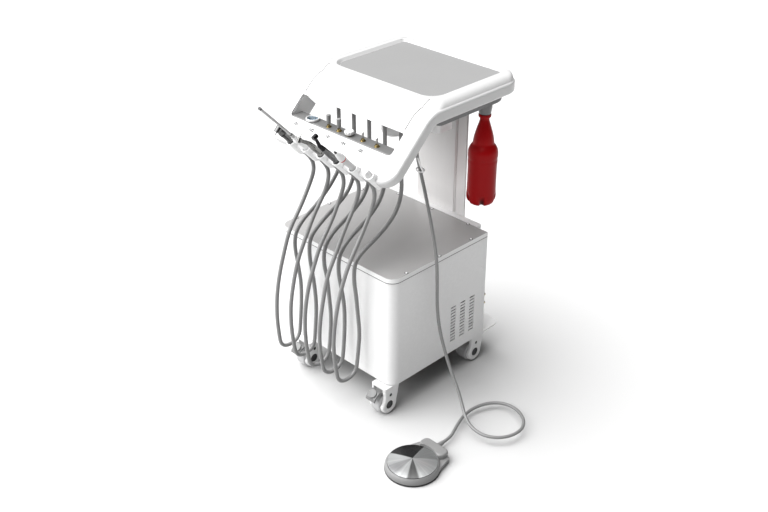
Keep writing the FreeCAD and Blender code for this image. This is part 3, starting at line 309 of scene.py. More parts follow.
# ------------------------------------------------------------------ node trees
class Tree:
    """A node tree under construction, with a short call for each kind of node used here."""

    def __init__(self, holder):
        self.nodes, self.links = holder.nodes, holder.links

    def feed(self, socket, value):
        """Links a socket to an input, or sets a number, vector or colour on it."""
        if isinstance(value, bpy.types.NodeSocket):
            self.links.new(value, socket)
        elif value is not None:
            socket.default_value = value

    def value(self, operation, a, b=None, clamp=False):
        """A Math node's output; its inputs are sockets or numbers."""
        node = self.nodes.new("ShaderNodeMath")
        node.operation = operation
        node.use_clamp = clamp
        self.feed(node.inputs[0], a)
        self.feed(node.inputs[1], b)
        return node.outputs[0]

    def times(self, a, b, clamp=False):
        """The product of two sockets or numbers."""
        return self.value("MULTIPLY", a, b, clamp)

    def plus(self, a, b, clamp=False):
        """The sum of two sockets or numbers."""
        return self.value("ADD", a, b, clamp)

    def vector(self, operation, a, b=None):
        """A Vector Math node's output: a number for a dot product, a vector otherwise."""
        node = self.nodes.new("ShaderNodeVectorMath")
        node.operation = operation
        self.feed(node.inputs[0], a)
        self.feed(node.inputs[1], b)
        return node.outputs["Value" if operation == "DOT_PRODUCT" else "Vector"]

    def noise(self, vector, scale, detail=3.0, roughness=0.5):
        """A Noise Texture's value."""
        node = self.nodes.new("ShaderNodeTexNoise")
        labels = ("Vector", "Scale", "Detail", "Roughness")
        for label, value in zip(labels, (vector, scale, detail, roughness)):
            self.feed(node.inputs[label], value)
        return node.outputs["Fac"]

    def mix(self, factor, a, b):
        """A colour mix whose factor is a socket or a number and whose sides are sockets or colours."""
        node = self.nodes.new("ShaderNodeMix")
        node.data_type = "RGBA"
        self.feed(node.inputs["Factor"], factor)
        for label, side in (("A", a), ("B", b)):
            self.feed(node.inputs[label], side if isinstance(side, bpy.types.NodeSocket) else (*side, 1))
        return node.outputs["Result"]

    def rise(self, value, start, end, low=0.0, high=1.0, smooth=True):
        """Goes from low to high as a value goes from start to end, smoothly or in a straight line."""
        node = self.nodes.new("ShaderNodeMapRange")
        node.interpolation_type = "SMOOTHSTEP" if smooth else "LINEAR"
        for label, number in zip(("From Min", "From Max", "To Min", "To Max"), (start, end, low, high)):
            node.inputs[label].default_value = number
        self.links.new(value, node.inputs["Value"])
        return node.outputs["Result"]

    def between(self, value, start, end):
        """1 where a value lies between two numbers, else 0."""
        above, below = self.value("GREATER_THAN", value, start), self.value("LESS_THAN", value, end)
        return self.times(above, below)

    def split(self, vector):
        """A vector's parts by name."""
        node = self.nodes.new("ShaderNodeSeparateXYZ")
        self.links.new(vector, node.inputs["Vector"])
        return node.outputs

    def coordinate(self):
        """The Object coordinate."""
        return self.nodes.new("ShaderNodeTexCoord").outputs["Object"]

    def along(self, origin, axis):
        """Distance in metres from an origin along an axis."""
        shift = self.vector("SUBTRACT", self.coordinate(), tuple(origin))
        return self.vector("DOT_PRODUCT", shift, tuple(axis))

    def normal(self):
        """The parts of the surface's normal by name."""
        return self.split(self.nodes.new("ShaderNodeNewGeometry").outputs["Normal"])

    def steep(self, limit):
        """1 where the normal's Z is below a limit, so that level faces are left out, else 0."""
        return self.value("LESS_THAN", self.value("ABSOLUTE", self.normal()["Z"]), limit)


# ------------------------------------------------------------------ shader groups
SOCKET_KINDS = {1: "NodeSocketFloat", 3: "NodeSocketVector", 4: "NodeSocketColor"}
BLANK = (0.0, 0.0, 0.0, 1.0)


def new_group(name, inputs, outputs):
    """A node group with named sockets; returns the group, its tree, its inputs and its outputs."""
    group = bpy.data.node_groups.new(name, "ShaderNodeTree")
    for way, sockets in (("INPUT", inputs), ("OUTPUT", outputs)):
        for label, value in sockets.items():
            socket = group.interface.new_socket(label, in_out=way, socket_type=SOCKET_KINDS[np.size(value)])
            socket.default_value = value
    given = group.nodes.new("NodeGroupInput").outputs
    return group, Tree(group), given, group.nodes.new("NodeGroupOutput").inputs


def mottle_group():
    """Slow and quick noise that shifts a colour and a roughness about their means."""
    group, tree, given, result = new_group(
        "surface_mottle",
        {"Color": (0.8, 0.8, 0.8, 1), "Shade": (0.7, 0.7, 0.7, 1), "Amount": 0.3, "Scale": 12.0,
         "Roughness": 0.4, "Spread": 0.1},
        {"Color": BLANK, "Roughness": 0.0})
    place = tree.coordinate()
    slow = tree.noise(place, given["Scale"], 4.0, 0.6)
    quick = tree.noise(place, tree.times(given["Scale"], 23.0), 2.0)
    both = tree.plus(tree.times(slow, 0.75), tree.times(quick, 0.25))
    swing = tree.times(both, given["Amount"], clamp=True)
    tree.feed(result["Color"], tree.mix(swing, given["Color"], given["Shade"]))
    change = tree.times(tree.value("SUBTRACT", both, 0.5), given["Spread"])
    tree.feed(result["Roughness"], tree.plus(given["Roughness"], change, clamp=True))
    return group


def wear_group():
    """Edge wear: a mask from the surface's pointiness, broken up by noise."""
    group, tree, given, result = new_group("edge_wear", {"Amount": 0.3, "Scale": 90.0}, {"Mask": 0.0})
    edge = tree.rise(tree.nodes.new("ShaderNodeNewGeometry").outputs["Pointiness"], 0.52, 0.60, smooth=False)
    patch = tree.value("GREATER_THAN", tree.noise(tree.coordinate(), given["Scale"], 5.0, 0.7), 0.48)
    mask = tree.times(edge, patch)
    tree.feed(result["Mask"], tree.times(mask, given["Amount"], clamp=True))
    return group


def dust_group():
    """Dust: a mask of soft patches on surfaces that face up."""
    group, tree, given, result = new_group("settled_dust", {"Amount": 0.1, "Scale": 9.0}, {"Mask": 0.0})
    upward = tree.value("MAXIMUM", tree.normal()["Z"], 0.0)
    mask = tree.times(upward, tree.noise(tree.coordinate(), given["Scale"], 6.0, 0.65))
    tree.feed(result["Mask"], tree.times(mask, given["Amount"], clamp=True))
    return group


def grain_group():
    """Moulded or sprayed skin: fine rounded bumps as a height."""
    group, tree, given, result = new_group("skin_grain", {"Scale": 900.0}, {"Height": 0.0})
    place = tree.coordinate()
    fine = tree.noise(place, given["Scale"], 1.0)
    coarse = tree.noise(place, tree.times(given["Scale"], 0.22), 2.0)
    tree.feed(result["Height"], tree.plus(fine, tree.times(coarse, 0.6)))
    return group


def brush_group():
    """Brushed metal: noise stretched along one axis, as a height and a value."""
    group, tree, given, result = new_group(
        "brushed_lines", {"Along": (40.0, 40.0, 1.5)}, {"Height": 0.0, "Value": 0.0})
    place = tree.vector("MULTIPLY", tree.coordinate(), given["Along"])
    fine = tree.noise(place, 28.0, 4.0, 0.7)
    broad = tree.noise(place, 3.0, 3.0, 0.6)
    tree.feed(result["Height"], fine)
    tree.feed(result["Value"], tree.plus(tree.times(fine, 0.5), tree.times(broad, 0.5)))
    return group


GROUP_MAKERS = {"mottle": mottle_group, "wear": wear_group, "dust": dust_group, "grain": grain_group,
                "brush": brush_group}
GROUPS = {}
MATERIALS = {}
DUST = (0.62, 0.61, 0.59)


def group_of(name):
    """The shared node group of that name, made when first asked for."""
    if name not in GROUPS:
        GROUPS[name] = GROUP_MAKERS[name]()
    return GROUPS[name]


# ------------------------------------------------------------------ finishes
class Finish(Tree):
    """A material under construction: its nodes, its Principled shader and the groups it places."""

    def __init__(self, name, metallic=0.0, coat=0.0, coat_roughness=0.1, ior=1.5, specular=0.5,
                 transmission=0.0):
        material = bpy.data.materials.new(name)
        material.use_nodes = True
        super().__init__(material.node_tree)
        self.shader = self.nodes["Principled BSDF"]
        self.shade({"Metallic": metallic, "Coat Weight": coat, "Coat Roughness": coat_roughness, "IOR": ior,
                    "Specular IOR Level": specular, "Transmission Weight": transmission})
        MATERIALS[name] = material

    def shade(self, sockets):
        """Feeds or sets the shader's inputs, given by label."""
        for label, value in sockets.items():
            self.feed(self.shader.inputs[label], value)

    def place(self, name, **values):
        """Adds a shared group with its inputs fed or set by name; returns its outputs."""
        node = self.nodes.new("ShaderNodeGroup")
        node.node_tree = group_of(name)
        for label, value in values.items():
            self.feed(node.inputs[label], value)
        return node.outputs

    def mottled(self, skin, colour, shade):
        """A skin's mottle of two colours, as a colour and a roughness."""
        return self.place("mottle", Color=colour, Shade=shade, Amount=skin.amount, Scale=skin.scale,
                          Roughness=skin.roughness, Spread=skin.spread)

    def dusted(self, colour, amount):
        """A colour with dust on it, and the dust's mask."""
        mask = self.place("dust", Amount=amount)["Mask"]
        return self.mix(mask, colour, DUST), mask

    def bump(self, height, strength, distance=0.0002):
        """Bumps from a height, with their distance in metres."""
        node = self.nodes.new("ShaderNodeBump")
        for label, value in (("Strength", strength), ("Distance", distance), ("Height", height)):
            self.feed(node.inputs[label], value)
        self.shade({"Normal": node.outputs["Normal"]})

    def finished(self, colour, roughness, grain, strength):
        """Feeds the shader a colour, a roughness and the bumps of a grain of that scale."""
        self.shade({"Base Color": colour, "Roughness": roughness})
        self.bump(self.place("grain", Scale=grain)["Height"], strength)


def grey(tone):
    """A neutral colour."""
    return tone, tone, tone


def shade_of(colour, factor):
    """A colour made lighter or darker by a factor."""
    return tuple(min(1.0, c * factor) for c in colour)


# A skin: roughness and how far it swings, how much of the darker tone the mottle shows, that tone as a
# share of the colour, the scales of the mottle and of the grain, and the strength of the grain's bumps.
Skin = namedtuple("Skin", "roughness spread amount darker scale grain strength")
SKINS = {
    "moulded_white": Skin(0.30, 0.10, 0.25, 0.96, 6.0, 700.0, 0.05),
    "small_white": Skin(0.30, 0.10, 0.25, 0.96, 12.0, 700.0, 0.05),
    "caster_white": Skin(0.32, 0.12, 0.30, 0.93, 20.0, 900.0, 0.08),
    "nose_white": Skin(0.28, 0.10, 0.25, 0.94, 20.0, 700.0, 0.04),
    "powder_coat_white": Skin(0.42, 0.12, 0.30, 0.95, 5.0, 1400.0, 0.22),
    "two_tone": Skin(0.40, 0.12, 0.25, 0.94, 5.0, 1400.0, 0.15),
    "soft_mat_grey": Skin(0.55, 0.12, 0.25, 0.95, 8.0, 1600.0, 0.25),
    "pedal_grey": Skin(0.40, 0.14, 0.35, 0.90, 14.0, 900.0, 0.12),
    "moulded_grey": Skin(0.38, 0.14, 0.35, 0.90, 14.0, 900.0, 0.12),
    "bowl_grey": Skin(0.25, 0.12, 0.30, 0.90, 14.0, 900.0, 0.06),
    "brake_grey": Skin(0.40, 0.12, 0.30, 0.90, 14.0, 900.0, 0.12),
    "moulded_dark_grey": Skin(0.50, 0.14, 0.40, 0.85, 14.0, 900.0, 0.16),
    "moulded_black": Skin(0.42, 0.15, 0.50, 0.60, 30.0, 900.0, 0.12),
    "foot_rubber_black": Skin(0.70, 0.15, 0.50, 0.60, 30.0, 1300.0, 0.35),
    "hose_jacket_grey": Skin(0.36, 0.12, 0.35, 0.88, 22.0, 1100.0, 0.08),
    "tyre_grey": Skin(0.55, 0.15, 0.40, 0.82, 26.0, 1200.0, 0.25),
    "number_ink": Skin(0.50, 0.10, 0.30, 0.90, 60.0, 900.0, 0.02),
    "gauge_dial_blue": Skin(0.35, 0.10, 0.30, 0.90, 60.0, 900.0, 0.03),
    "handpiece": Skin(0.24, 0.12, 0.40, 0.85, 30.0, 500.0, 0.04),
    "polished_steel": Skin(0.20, 0.10, 0.50, 0.80, 30.0, 300.0, 0.03),
    "tool_steel": Skin(0.22, 0.10, 0.50, 0.80, 30.0, 300.0, 0.03),
    "turned_brass": Skin(0.24, 0.10, 0.50, 0.70, 30.0, 300.0, 0.03),
    "screw_zinc": Skin(0.34, 0.15, 0.30, 0.90, 60.0, 600.0, 0.05),
    "zinc_plate": Skin(0.36, 0.15, 0.50, 0.80, 40.0, 600.0, 0.10),
    "cast_alloy": Skin(0.50, 0.20, 0.50, 0.75, 40.0, 350.0, 0.40),
    "bottle_red": Skin(0.34, 0.08, 0.50, 0.80, 16.0, 120.0, 0.04),
    "gauge_glass": Skin(0.03, 0.02, 0.20, 0.98, 20.0, 300.0, 0.00),
}
LACQUER = {"coat": 0.35, "coat_roughness": 0.12}


def skinned(name, colour, dust=0.0, skin=None, wear=0.0, bands=(), origin=ORIGIN, axis=UP, both=False,
            steep=0.0, under=None, **shader):
    """The common finish: mottled colour, edge wear, settled dust and a fine skin, its own or another's.

    bands are (start, end, colour) in millimetres along an axis from an origin, or on both sides of it;
    steep, when given, keeps them to faces whose normal's Z is below it. under is the colour of what
    faces down, painted shade where it is given.
    """
    skin = SKINS[skin or name]
    finish = Finish(name, **shader)
    mottle = finish.mottled(skin, (*colour, 1), (*shade_of(colour, skin.darker), 1))
    tone, roughness = mottle["Color"], mottle["Roughness"]
    if bands:
        reach = finish.along(origin, axis)
        reach = finish.value("ABSOLUTE", reach) if both else reach
    for start, end, band in bands:
        inside = finish.between(reach, start * MM, end * MM)
        if steep:
            inside = finish.times(inside, finish.steep(steep))
        tone = finish.mix(inside, tone, band)
    if under:
        tone = finish.mix(finish.value("LESS_THAN", finish.normal()["Z"], -0.5), tone, under)
    if wear:
        tone = finish.mix(finish.place("wear", Amount=wear)["Mask"], tone, grey(0.6))
    if dust:
        tone, mask = finish.dusted(tone, dust)
        roughness = finish.plus(roughness, mask, clamp=True)
    finish.finished(tone, roughness, skin.grain, skin.strength)


def brushed_column(name):
    """Brushed aluminium with upright lines, painted darker between two heights towards its top: painted shade
    of the head above it.
    """
    plain_tone, shaded_tone = (0.93, 0.915, 0.91), (0.24, 0.234, 0.232)
    shade_start, shade_end = 0.50, 0.80
    finish = Finish(name, metallic=0.25)
    lines = finish.place("brush", Along=(30.0, 30.0, 0.8))
    tones = [finish.mix(lines["Value"], shade_of(tone, 0.88), tone) for tone in (plain_tone, shaded_tone)]
    # Painted shade: the tone falls from the plain aluminium to a dark grey as the height nears the head.
    head_shade = finish.rise(finish.along(ORIGIN, UP), shade_start, shade_end, smooth=False)
    roughness = finish.plus(finish.times(lines["Value"], 0.25), 0.33)
    finish.shade({"Base Color": finish.mix(head_shade, *tones), "Roughness": roughness})
    finish.bump(lines["Height"], 0.12, 0.0001)


def two_tone(name, along, across, axis, line=None):
    """Powder coat in two tones: one on faces that look along an axis, the other on faces square to it.
    On the ledge the two tones are painted light and shade.

    line is (start, end, colour) in metres of height of a dark line on the steep faces, painted shade under
    the lap.
    """
    finish = Finish(name)
    share = finish.rise(finish.value("ABSOLUTE", finish.normal()[axis]), 0.45, 0.85)
    tone = finish.mix(share, across, along)
    if line:
        inside = finish.between(finish.along(ORIGIN, UP), *line[:2])
        tone = finish.mix(finish.times(inside, finish.steep(0.64)), tone, line[2])
    skin = SKINS["two_tone"]
    mottle = finish.mottled(skin, tone, finish.mix(1 - skin.darker, tone, grey(0.1)))
    tone, _ = finish.dusted(mottle["Color"], 0.04)
    finish.finished(tone, mottle["Roughness"], skin.grain, skin.strength)


def spun_chrome(name, centre, wedges):
    """Spun chrome of the foot control's cone, whose tone changes in wedges about the cone's axis: painted
    reflections.

    n = (cos(angle), sin(angle)) about the axis is the same from the middle to the rim. Each wedge is
    (direction, start, end, tone): its share rises from n . direction = start to end. A noise of n
    draws the fine radial lines.
    """
    finish = Finish(name, metallic=0.62)
    shift = finish.vector("SUBTRACT", finish.coordinate(), centre)
    n = finish.vector("NORMALIZE", finish.vector("MULTIPLY", shift, (1, 1, 0)))
    fine = finish.noise(n, 9.0, 4.0, 0.65)
    tone = finish.mix(fine, (0.27, 0.275, 0.275), (0.56, 0.57, 0.57))
    # Painted reflection: each wedge lays a lighter or darker tone where the surroundings would be mirrored.
    for direction, start, end, colour in wedges:
        share = finish.rise(finish.vector("DOT_PRODUCT", n, Vector(direction).normalized()), start, end)
        tone = finish.mix(share, tone, finish.mix(fine, shade_of(colour, 0.7), shade_of(colour, 1.3)))
    roughness = finish.plus(finish.times(fine, 0.16), 0.16)
    finish.finished(tone, roughness, 260.0, 0.01)


def tinted_bottle(name, colour, centre, low, high):
    """Tinted plastic, a little deeper below the water line, with painted shade in the valleys between the
    feet.

    A valley is where cos(feet * (angle - turn)) about the bottle's axis nears 1, below the feet's height.
    """
    skin = SKINS[name]
    water_line, clear_line = low + (high - low) * 0.52, low + (high - low) * 0.58
    finish = Finish(name, ior=1.32, specular=0.22)
    mottle = finish.mottled(skin, (*colour, 1), (*shade_of(colour, skin.darker), 1))
    height = finish.split(finish.coordinate())["Z"]
    air = finish.rise(height, water_line, clear_line, smooth=False)
    tone = finish.mix(air, shade_of(colour, 0.88), mottle["Color"])
    apart = finish.split(finish.vector("SUBTRACT", finish.coordinate(), centre))
    angle = finish.value("ARCTAN2", finish.times(apart["X"], -1.0), apart["Y"])
    turn = finish.times(finish.value("SUBTRACT", angle, FOOT_TURN), float(FEET))
    near_foot = finish.rise(height, low + FOOT_HEIGHT, low + FOOT_HEIGHT / 3)
    # Painted shade: the valleys between the feet fall to 0.18 of the red's tone.
    valley_shade = finish.times(finish.rise(finish.value("COSINE", turn), 0.45, 0.95), near_foot)
    tone = finish.mix(valley_shade, tone, shade_of(colour, 0.18))
    finish.finished(tone, mottle["Roughness"], skin.grain, skin.strength)


def make_whites(tones):
    """The white mouldings and powder coats, with painted shade as dark lines at the tray's rim, along the
    fascia's seams and under the top plate's lap.
    """
    white, powder = tuple(tones.shell_white), tuple(tones.powder_white)
    # Painted shade: a grey line on the steep faces of the tray's rounded rim, between two heights.
    skinned("moulded_white", white, 0.03, bands=((869.3, 871.2, grey(0.14)),), steep=0.78, **LACQUER)
    # Painted shade: a dark band along the fascia's side edges, the shadow line of its seams with the shell.
    skinned("fascia_white", white, 0.03, "moulded_white", axis=(1, 0, 0), bands=((181.5, 190.0, grey(0.06)),),
            both=True, **LACQUER)
    skinned("small_white", grey(0.80), 0.02, **LACQUER)
    skinned("caster_white", grey(0.78), 0.06, coat=0.3)
    skinned("powder_coat_white", powder, 0.05, wear=0.15)
    # Painted shade: the base plate's faces that look down are near black, darkening the floor's shadow under
    # the cabinet.
    skinned("powder_coat_base", powder, 0.05, "powder_coat_white", under=grey(0.03))
    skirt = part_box("top_plate")[0].z
    # Painted shade: a dark line along the bottom edge of the top plate's skirt.
    lap_shade = (skirt - 0.001, skirt + 0.0022, grey(0.10))
    two_tone("powder_coat_grey", tuple(tones.plate_grey), powder, "Z", lap_shade)


def make_greys(tones):
    """The grey and black mouldings, rubbers, ink and the gauge's dial."""
    trim = tuple(tones.trim_grey)
    skinned("soft_mat_grey", tuple(tones.mat_grey), 0.05)
    skinned("hose_jacket_grey", tuple(tones.hose_grey), 0.05, coat=0.12)
    skinned("moulded_grey", trim, 0.08, wear=0.12, coat=0.15)
    skinned("pedal_grey", shade_of(trim, 1.4), 0.05)
    skinned("bowl_grey", grey(0.60), 0.04, coat=0.4)
    skinned("brake_grey", grey(0.175), 0.04, coat=0.1)
    skinned("moulded_dark_grey", (0.16, 0.16, 0.162), 0.05)
    skinned("moulded_black", (0.012, 0.012, 0.013), 0.05)
    skinned("foot_rubber_black", (0.016, 0.016, 0.017), 0.12)
    skinned("tyre_grey", (0.50, 0.50, 0.505), 0.15)
    skinned("number_ink", (0.014, 0.014, 0.015))
    skinned("gauge_dial_blue", (0.22, 0.29, 0.36))
    # Painted light and shade: the ledge's cheeks, square to X, are light and its other faces dark, one grey
    # lit and shaded.
    two_tone("ledge_grey", grey(0.84), grey(0.118), "X")


def make_handpiece_finishes():
    """The handpieces' bodies, with bands at distances along each one's own axis from its holder."""
    red, ink, shadow = (0.42, 0.02, 0.025), (0.02, 0.02, 0.021), (0.10, 0.10, 0.102)
    for station, base, bands, metallic in (
            (0, grey(0.12), ((-26.5, 8.5, grey(0.32)), (9, 12, ink), (52, 56, ink)), 1.0),
            (1, grey(0.46), ((214.0, 230.0, shadow), (84.0, 86.5, shadow)), 0.0),
            (3, grey(0.14), ((-4.5, -1.5, ink), (78.0, 140.0, ink)), 1.0),
            (4, grey(0.55), ((61.5, 65.2, red), (94.3, 110.0, ink), (-2.5, -0.5, shadow)), 0.0)):
        skinned(f"tool_{station + 1}_finish", base, skin="handpiece", bands=bands,
                origin=station_point(station, 0), axis=PANEL_OUT, metallic=metallic)
    skinned("nose_white", grey(0.72), bands=((94.2, 110.0, ink),), origin=station_point(4, 0), axis=PANEL_OUT)


def make_metals():
    """The column, the steels, brass, zinc, the cast alloy and the foot control's chrome."""
    brushed_column("brushed_column")
    for name, colour in (("polished_steel", (0.40, 0.395, 0.385)), ("tool_steel", (0.23, 0.228, 0.22)),
                         ("turned_brass", (0.42, 0.33, 0.15))):
        skinned(name, colour, metallic=1.0)
    skinned("screw_zinc", (0.86, 0.86, 0.87), metallic=0.3)
    skinned("zinc_plate", (0.5, 0.5, 0.51), 0.04, metallic=1.0)
    skinned("cast_alloy", (0.36, 0.36, 0.37), 0.1, metallic=0.8)
    # The wedges' tones are painted reflections on the cone.
    spun_chrome("spun_chrome", foot_of("pedal_dome"), (
        ((0.19, 0.98, 0), 0.84, 0.90, (0.24, 0.245, 0.245)),
        ((-0.87, 0.49, 0), 0.68, 0.74, (0.02, 0.02, 0.021)),
        ((0.71, -0.71, 0), 0.955, 0.985, grey(0.10)),
        ((-0.26, -0.97, 0), 0.93, 0.98, (0.26, 0.26, 0.265))))


def make_clear_finishes(tones):
    """The gauge's glass and the bottle's tinted plastic."""
    skinned("gauge_glass", (0.95, 0.97, 0.98), transmission=1.0, ior=1.45)
    low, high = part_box("water_bottle")
    tinted_bottle("bottle_red", tuple(tones.bottle_red), foot_of("water_bottle"), low.z, high.z)


def material_of(name):
    """The finish of that name; every finish is made when the first one is asked for."""
    if name not in MATERIALS:
        tones = bpy.context.scene.dental_finish
        make_whites(tones)
        make_greys(tones)
        make_handpiece_finishes()
        make_metals()
        make_clear_finishes(tones)
    return MATERIALS[name]


# ------------------------------------------------------------------ hoses
# Routes in millimetres, the same points as the frame's tubes: (y, z) of the common loop,
# each loop's own shifts by point number, and the foot control's hose in (x, y, z).
STATION_X = (-119.0, -60.0, -2.0, 56.0, 114.0)
HOSE_TOP = 786.0
LOOP = (
    (-52, HOSE_TOP), (-52, 735), (-51, 665), (-52, 596), (-74, 553), (-112, 526), (-152, 506), (-192, 485),
    (-220, 456), (-226, 412), (-217, 352), (-209, 290), (-207, 228), (-213, 165), (-221, 98), (-288, 98),
    (-298, 165), (-301, 222), (-298, 286), (-285, 350), (-264, 412), (-236, 468), (-200, 524), (-162, 578),
    (-145, 618),
)
LOOP_SHIFTS = (
    {4: (-6, 8), 5: (-4, 4), 9: (-1, 4), 12: (-4, 0), 13: (-4, 8), 14: (-4, 8), 15: (-4, 8), 16: (-2, 8),
     17: (-1, 4), 21: (-6, 4), 23: (-4, 0)},
    {6: (1, 3), 8: (-1, 3), 13: (0, 2), 14: (0, 2), 15: (1, 2), 16: (1, 2), 18: (-1, -2), 20: (-2, 0),
     22: (-2, 4)},
    {7: (1, 2), 10: (3, 3), 12: (3, 0), 13: (3, -4), 14: (2, -5), 15: (3, -5), 16: (1, -5), 17: (0, 2),
     20: (2, -2), 22: (5, -4), 24: (1, -2)},
    {4: (0, 3), 9: (-1, 0), 11: (2, 4), 13: (1, 1), 14: (1, 1), 15: (2, 1), 16: (1, 1), 18: (2, -4),
     19: (4, 0), 21: (4, -2), 23: (1, 2)},
    {3: (6, 2), 4: (8, -4), 5: (10, -8), 6: (7, -10), 7: (2, -8), 9: (1, -6), 11: (-3, 0), 12: (1, 0),
     13: (0, 3), 14: (-1, 3), 15: (0, 3), 16: (0, 3), 17: (-2, 2), 22: (4, 0)},
)
PEDAL_ROUTE = (
    (165, -52, HOSE_TOP), (165, -52, 740), (176, -45, 683), (196, -42, 612), (221, -44, 532), (241, -45, 452),
    (246, -45, 375), (247, -45, 305), (258, -46, 238), (286, -50, 172), (321, -57, 120), (354, -67, 86),
    (378, -78, 60), (401, -92, 42), (434, -107, 34), (474, -107, 28), (508, -87, 26), (530, -53, 26),
    (534, -12, 26), (514, 24, 25), (474, 48, 24), (430, 49, 23), (395, 23, 22), (377, -20, 20),
    (375, -61, 17), (385, -95, 16), (399, -131, 16), (411.5, -160, 16), (411.5, -190.5, 16),
)
# The sloping panel in millimetres: the line where it leaves the deck, its slope, and the holders' place.
PANEL_CREASE = np.array([0.0, -66.5, 857.0])
PANEL_ANGLE = math.radians(44.0)
PANEL_DOWN = np.array([0.0, -math.cos(PANEL_ANGLE), -math.sin(PANEL_ANGLE)])
PANEL_OUT = np.array([0.0, -math.sin(PANEL_ANGLE), math.cos(PANEL_ANGLE)])
STATION_DOWN = 202.0
TOOL_TAIL = -52.0


def on_panel(x, down, out):
    """A point of the sloping panel in metres: across, down the slope, outwards from its face."""
    return (np.array([x, 0.0, 0.0]) + PANEL_CREASE + PANEL_DOWN * down + PANEL_OUT * out) * MM


def station_point(station, out):
    """A point on a holder station's axis, outwards from the panel."""
    return on_panel(STATION_X[station], STATION_DOWN, out)


def loop_route(station):
    """One handpiece hose's points in metres."""
    points = []
    for index, (y, z) in enumerate(LOOP):
        dy, dz = LOOP_SHIFTS[station].get(index, (0, 0))
        points.append(np.array([STATION_X[station], y + dy, z + dz]) * MM)
    return points + [station_point(station, TOOL_TAIL - 34), station_point(station, TOOL_TAIL)]


def nurbs_curve(name, points, bevel=0.0):
    """An open NURBS curve through the route's control points, ending on its first and last ones."""
    curve = bpy.data.curves.new(name, "CURVE")
    curve.dimensions = "3D"
    curve.resolution_u = 10
    spline = curve.splines.new("NURBS")
    spline.points.add(len(points) - 1)
    for point, place in zip(spline.points, points):
        point.co = (*[float(c) for c in place], 1.0)
    spline.order_u = 3
    spline.use_endpoint_u = True
    curve.bevel_depth = bevel
    curve.bevel_resolution = 6
    curve.use_fill_caps = bevel > 0
    return curve


def mesh_of_curve(curve):
    """A curve's or a text's points and faces; the curve is removed."""
    obj = bpy.data.objects.new(curve.name, curve)
    bpy.context.scene.collection.objects.link(obj)
    mesh = bpy.data.meshes.new_from_object(obj)
    points = np.array([v.co for v in mesh.vertices])
    faces = [tuple(p.vertices) for p in mesh.polygons]
    bpy.data.objects.remove(obj)
    bpy.data.curves.remove(curve)
    bpy.data.meshes.remove(mesh)
    return points, faces


def curve_line(points):
    """The NURBS curve's own line as an array of points, read from a curve with no bevel."""
    return mesh_of_curve(nurbs_curve("line", points))[0]


class DENTAL_OT_hoses(bpy.types.Operator):
    """Makes the five handpiece hoses and the foot control's hose"""

    bl_idname = "dental.hoses"
    bl_label = "Hoses"

    def execute(self, context):
        sizes = context.scene.dental_sizes
        for station in range(len(STATION_X)):
            line = curve_line(loop_route(station))
            name = f"hose_{station + 1}_soft"
            mesh = mesh_from(name, *carried(line, sizes.hose_diameter / 2, 18))
            mesh.materials.append(material_of("hose_jacket_grey"))
            obj = link(name, mesh, None)
            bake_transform(obj)
            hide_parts(f"hose_{station + 1}")
        route = np.array(PEDAL_ROUTE, float) * MM
        curve = nurbs_curve("pedal_hose_soft", route, sizes.pedal_hose_diameter / 2)
        curve.materials.append(material_of("hose_jacket_grey"))
        obj = link("pedal_hose_soft", curve, "unit")
        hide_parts("pedal_hose")
        line = curve_line(route)
        return {"FINISHED"}


# ------------------------------------------------------------------ cabinet
# Screws in millimetres: (x, y) on the top plate, (y, z) on both side walls, x and z on the rear cover.
PLATE_SCREWS = ((216, -133), (217, -7), (215, 123), (152, 183), (16, 180), (-120, 181), (-215, 123),
                (-217, -7), (-216, -133))
SIDE_SCREW = (169, 322)
REAR_SCREW_X = (-160, 160)
REAR_SCREW_Z = (130, 270, 405)


def screw_shape(place, facing, size):
    """A domed screw head: height = crown * (1 - r^2.4) for r = 0 to 1, less a depth in two crossed slots."""
    rings, segments = 6, 24
    crown, slot_width, slot_reach, slot_depth = size * 0.28, size * 0.07, size * 0.30, size * 0.13
    r = np.linspace(0, 1, rings + 1)[1:, None] * np.ones(segments)
    x, y = size / 2 * r * np.cos(angles(segments)), size / 2 * r * np.sin(angles(segments))
    slot = (np.minimum(np.abs(x), np.abs(y)) < slot_width) & (size / 2 * r < slot_reach)
    height = crown * (1 - r ** 2.4) - np.where(slot, slot_depth, 0.0)
    u, v = frame_about(facing)
    place, n = np.asarray(place), unit_vector(facing)
    points = place + x[..., None] * u + y[..., None] * v + height[..., None] * n
    verts = np.vstack([points.reshape(-1, 3), place + n * size * 0.15, place - n * size * 0.02])
    count = rings * segments
    faces = [tuple(f) for f in grid_faces(rings, segments, close_cols=True)]
    faces += fan(count, 0, segments, inward=True) + fan(count + 1, count - segments, segments)
    return verts, faces


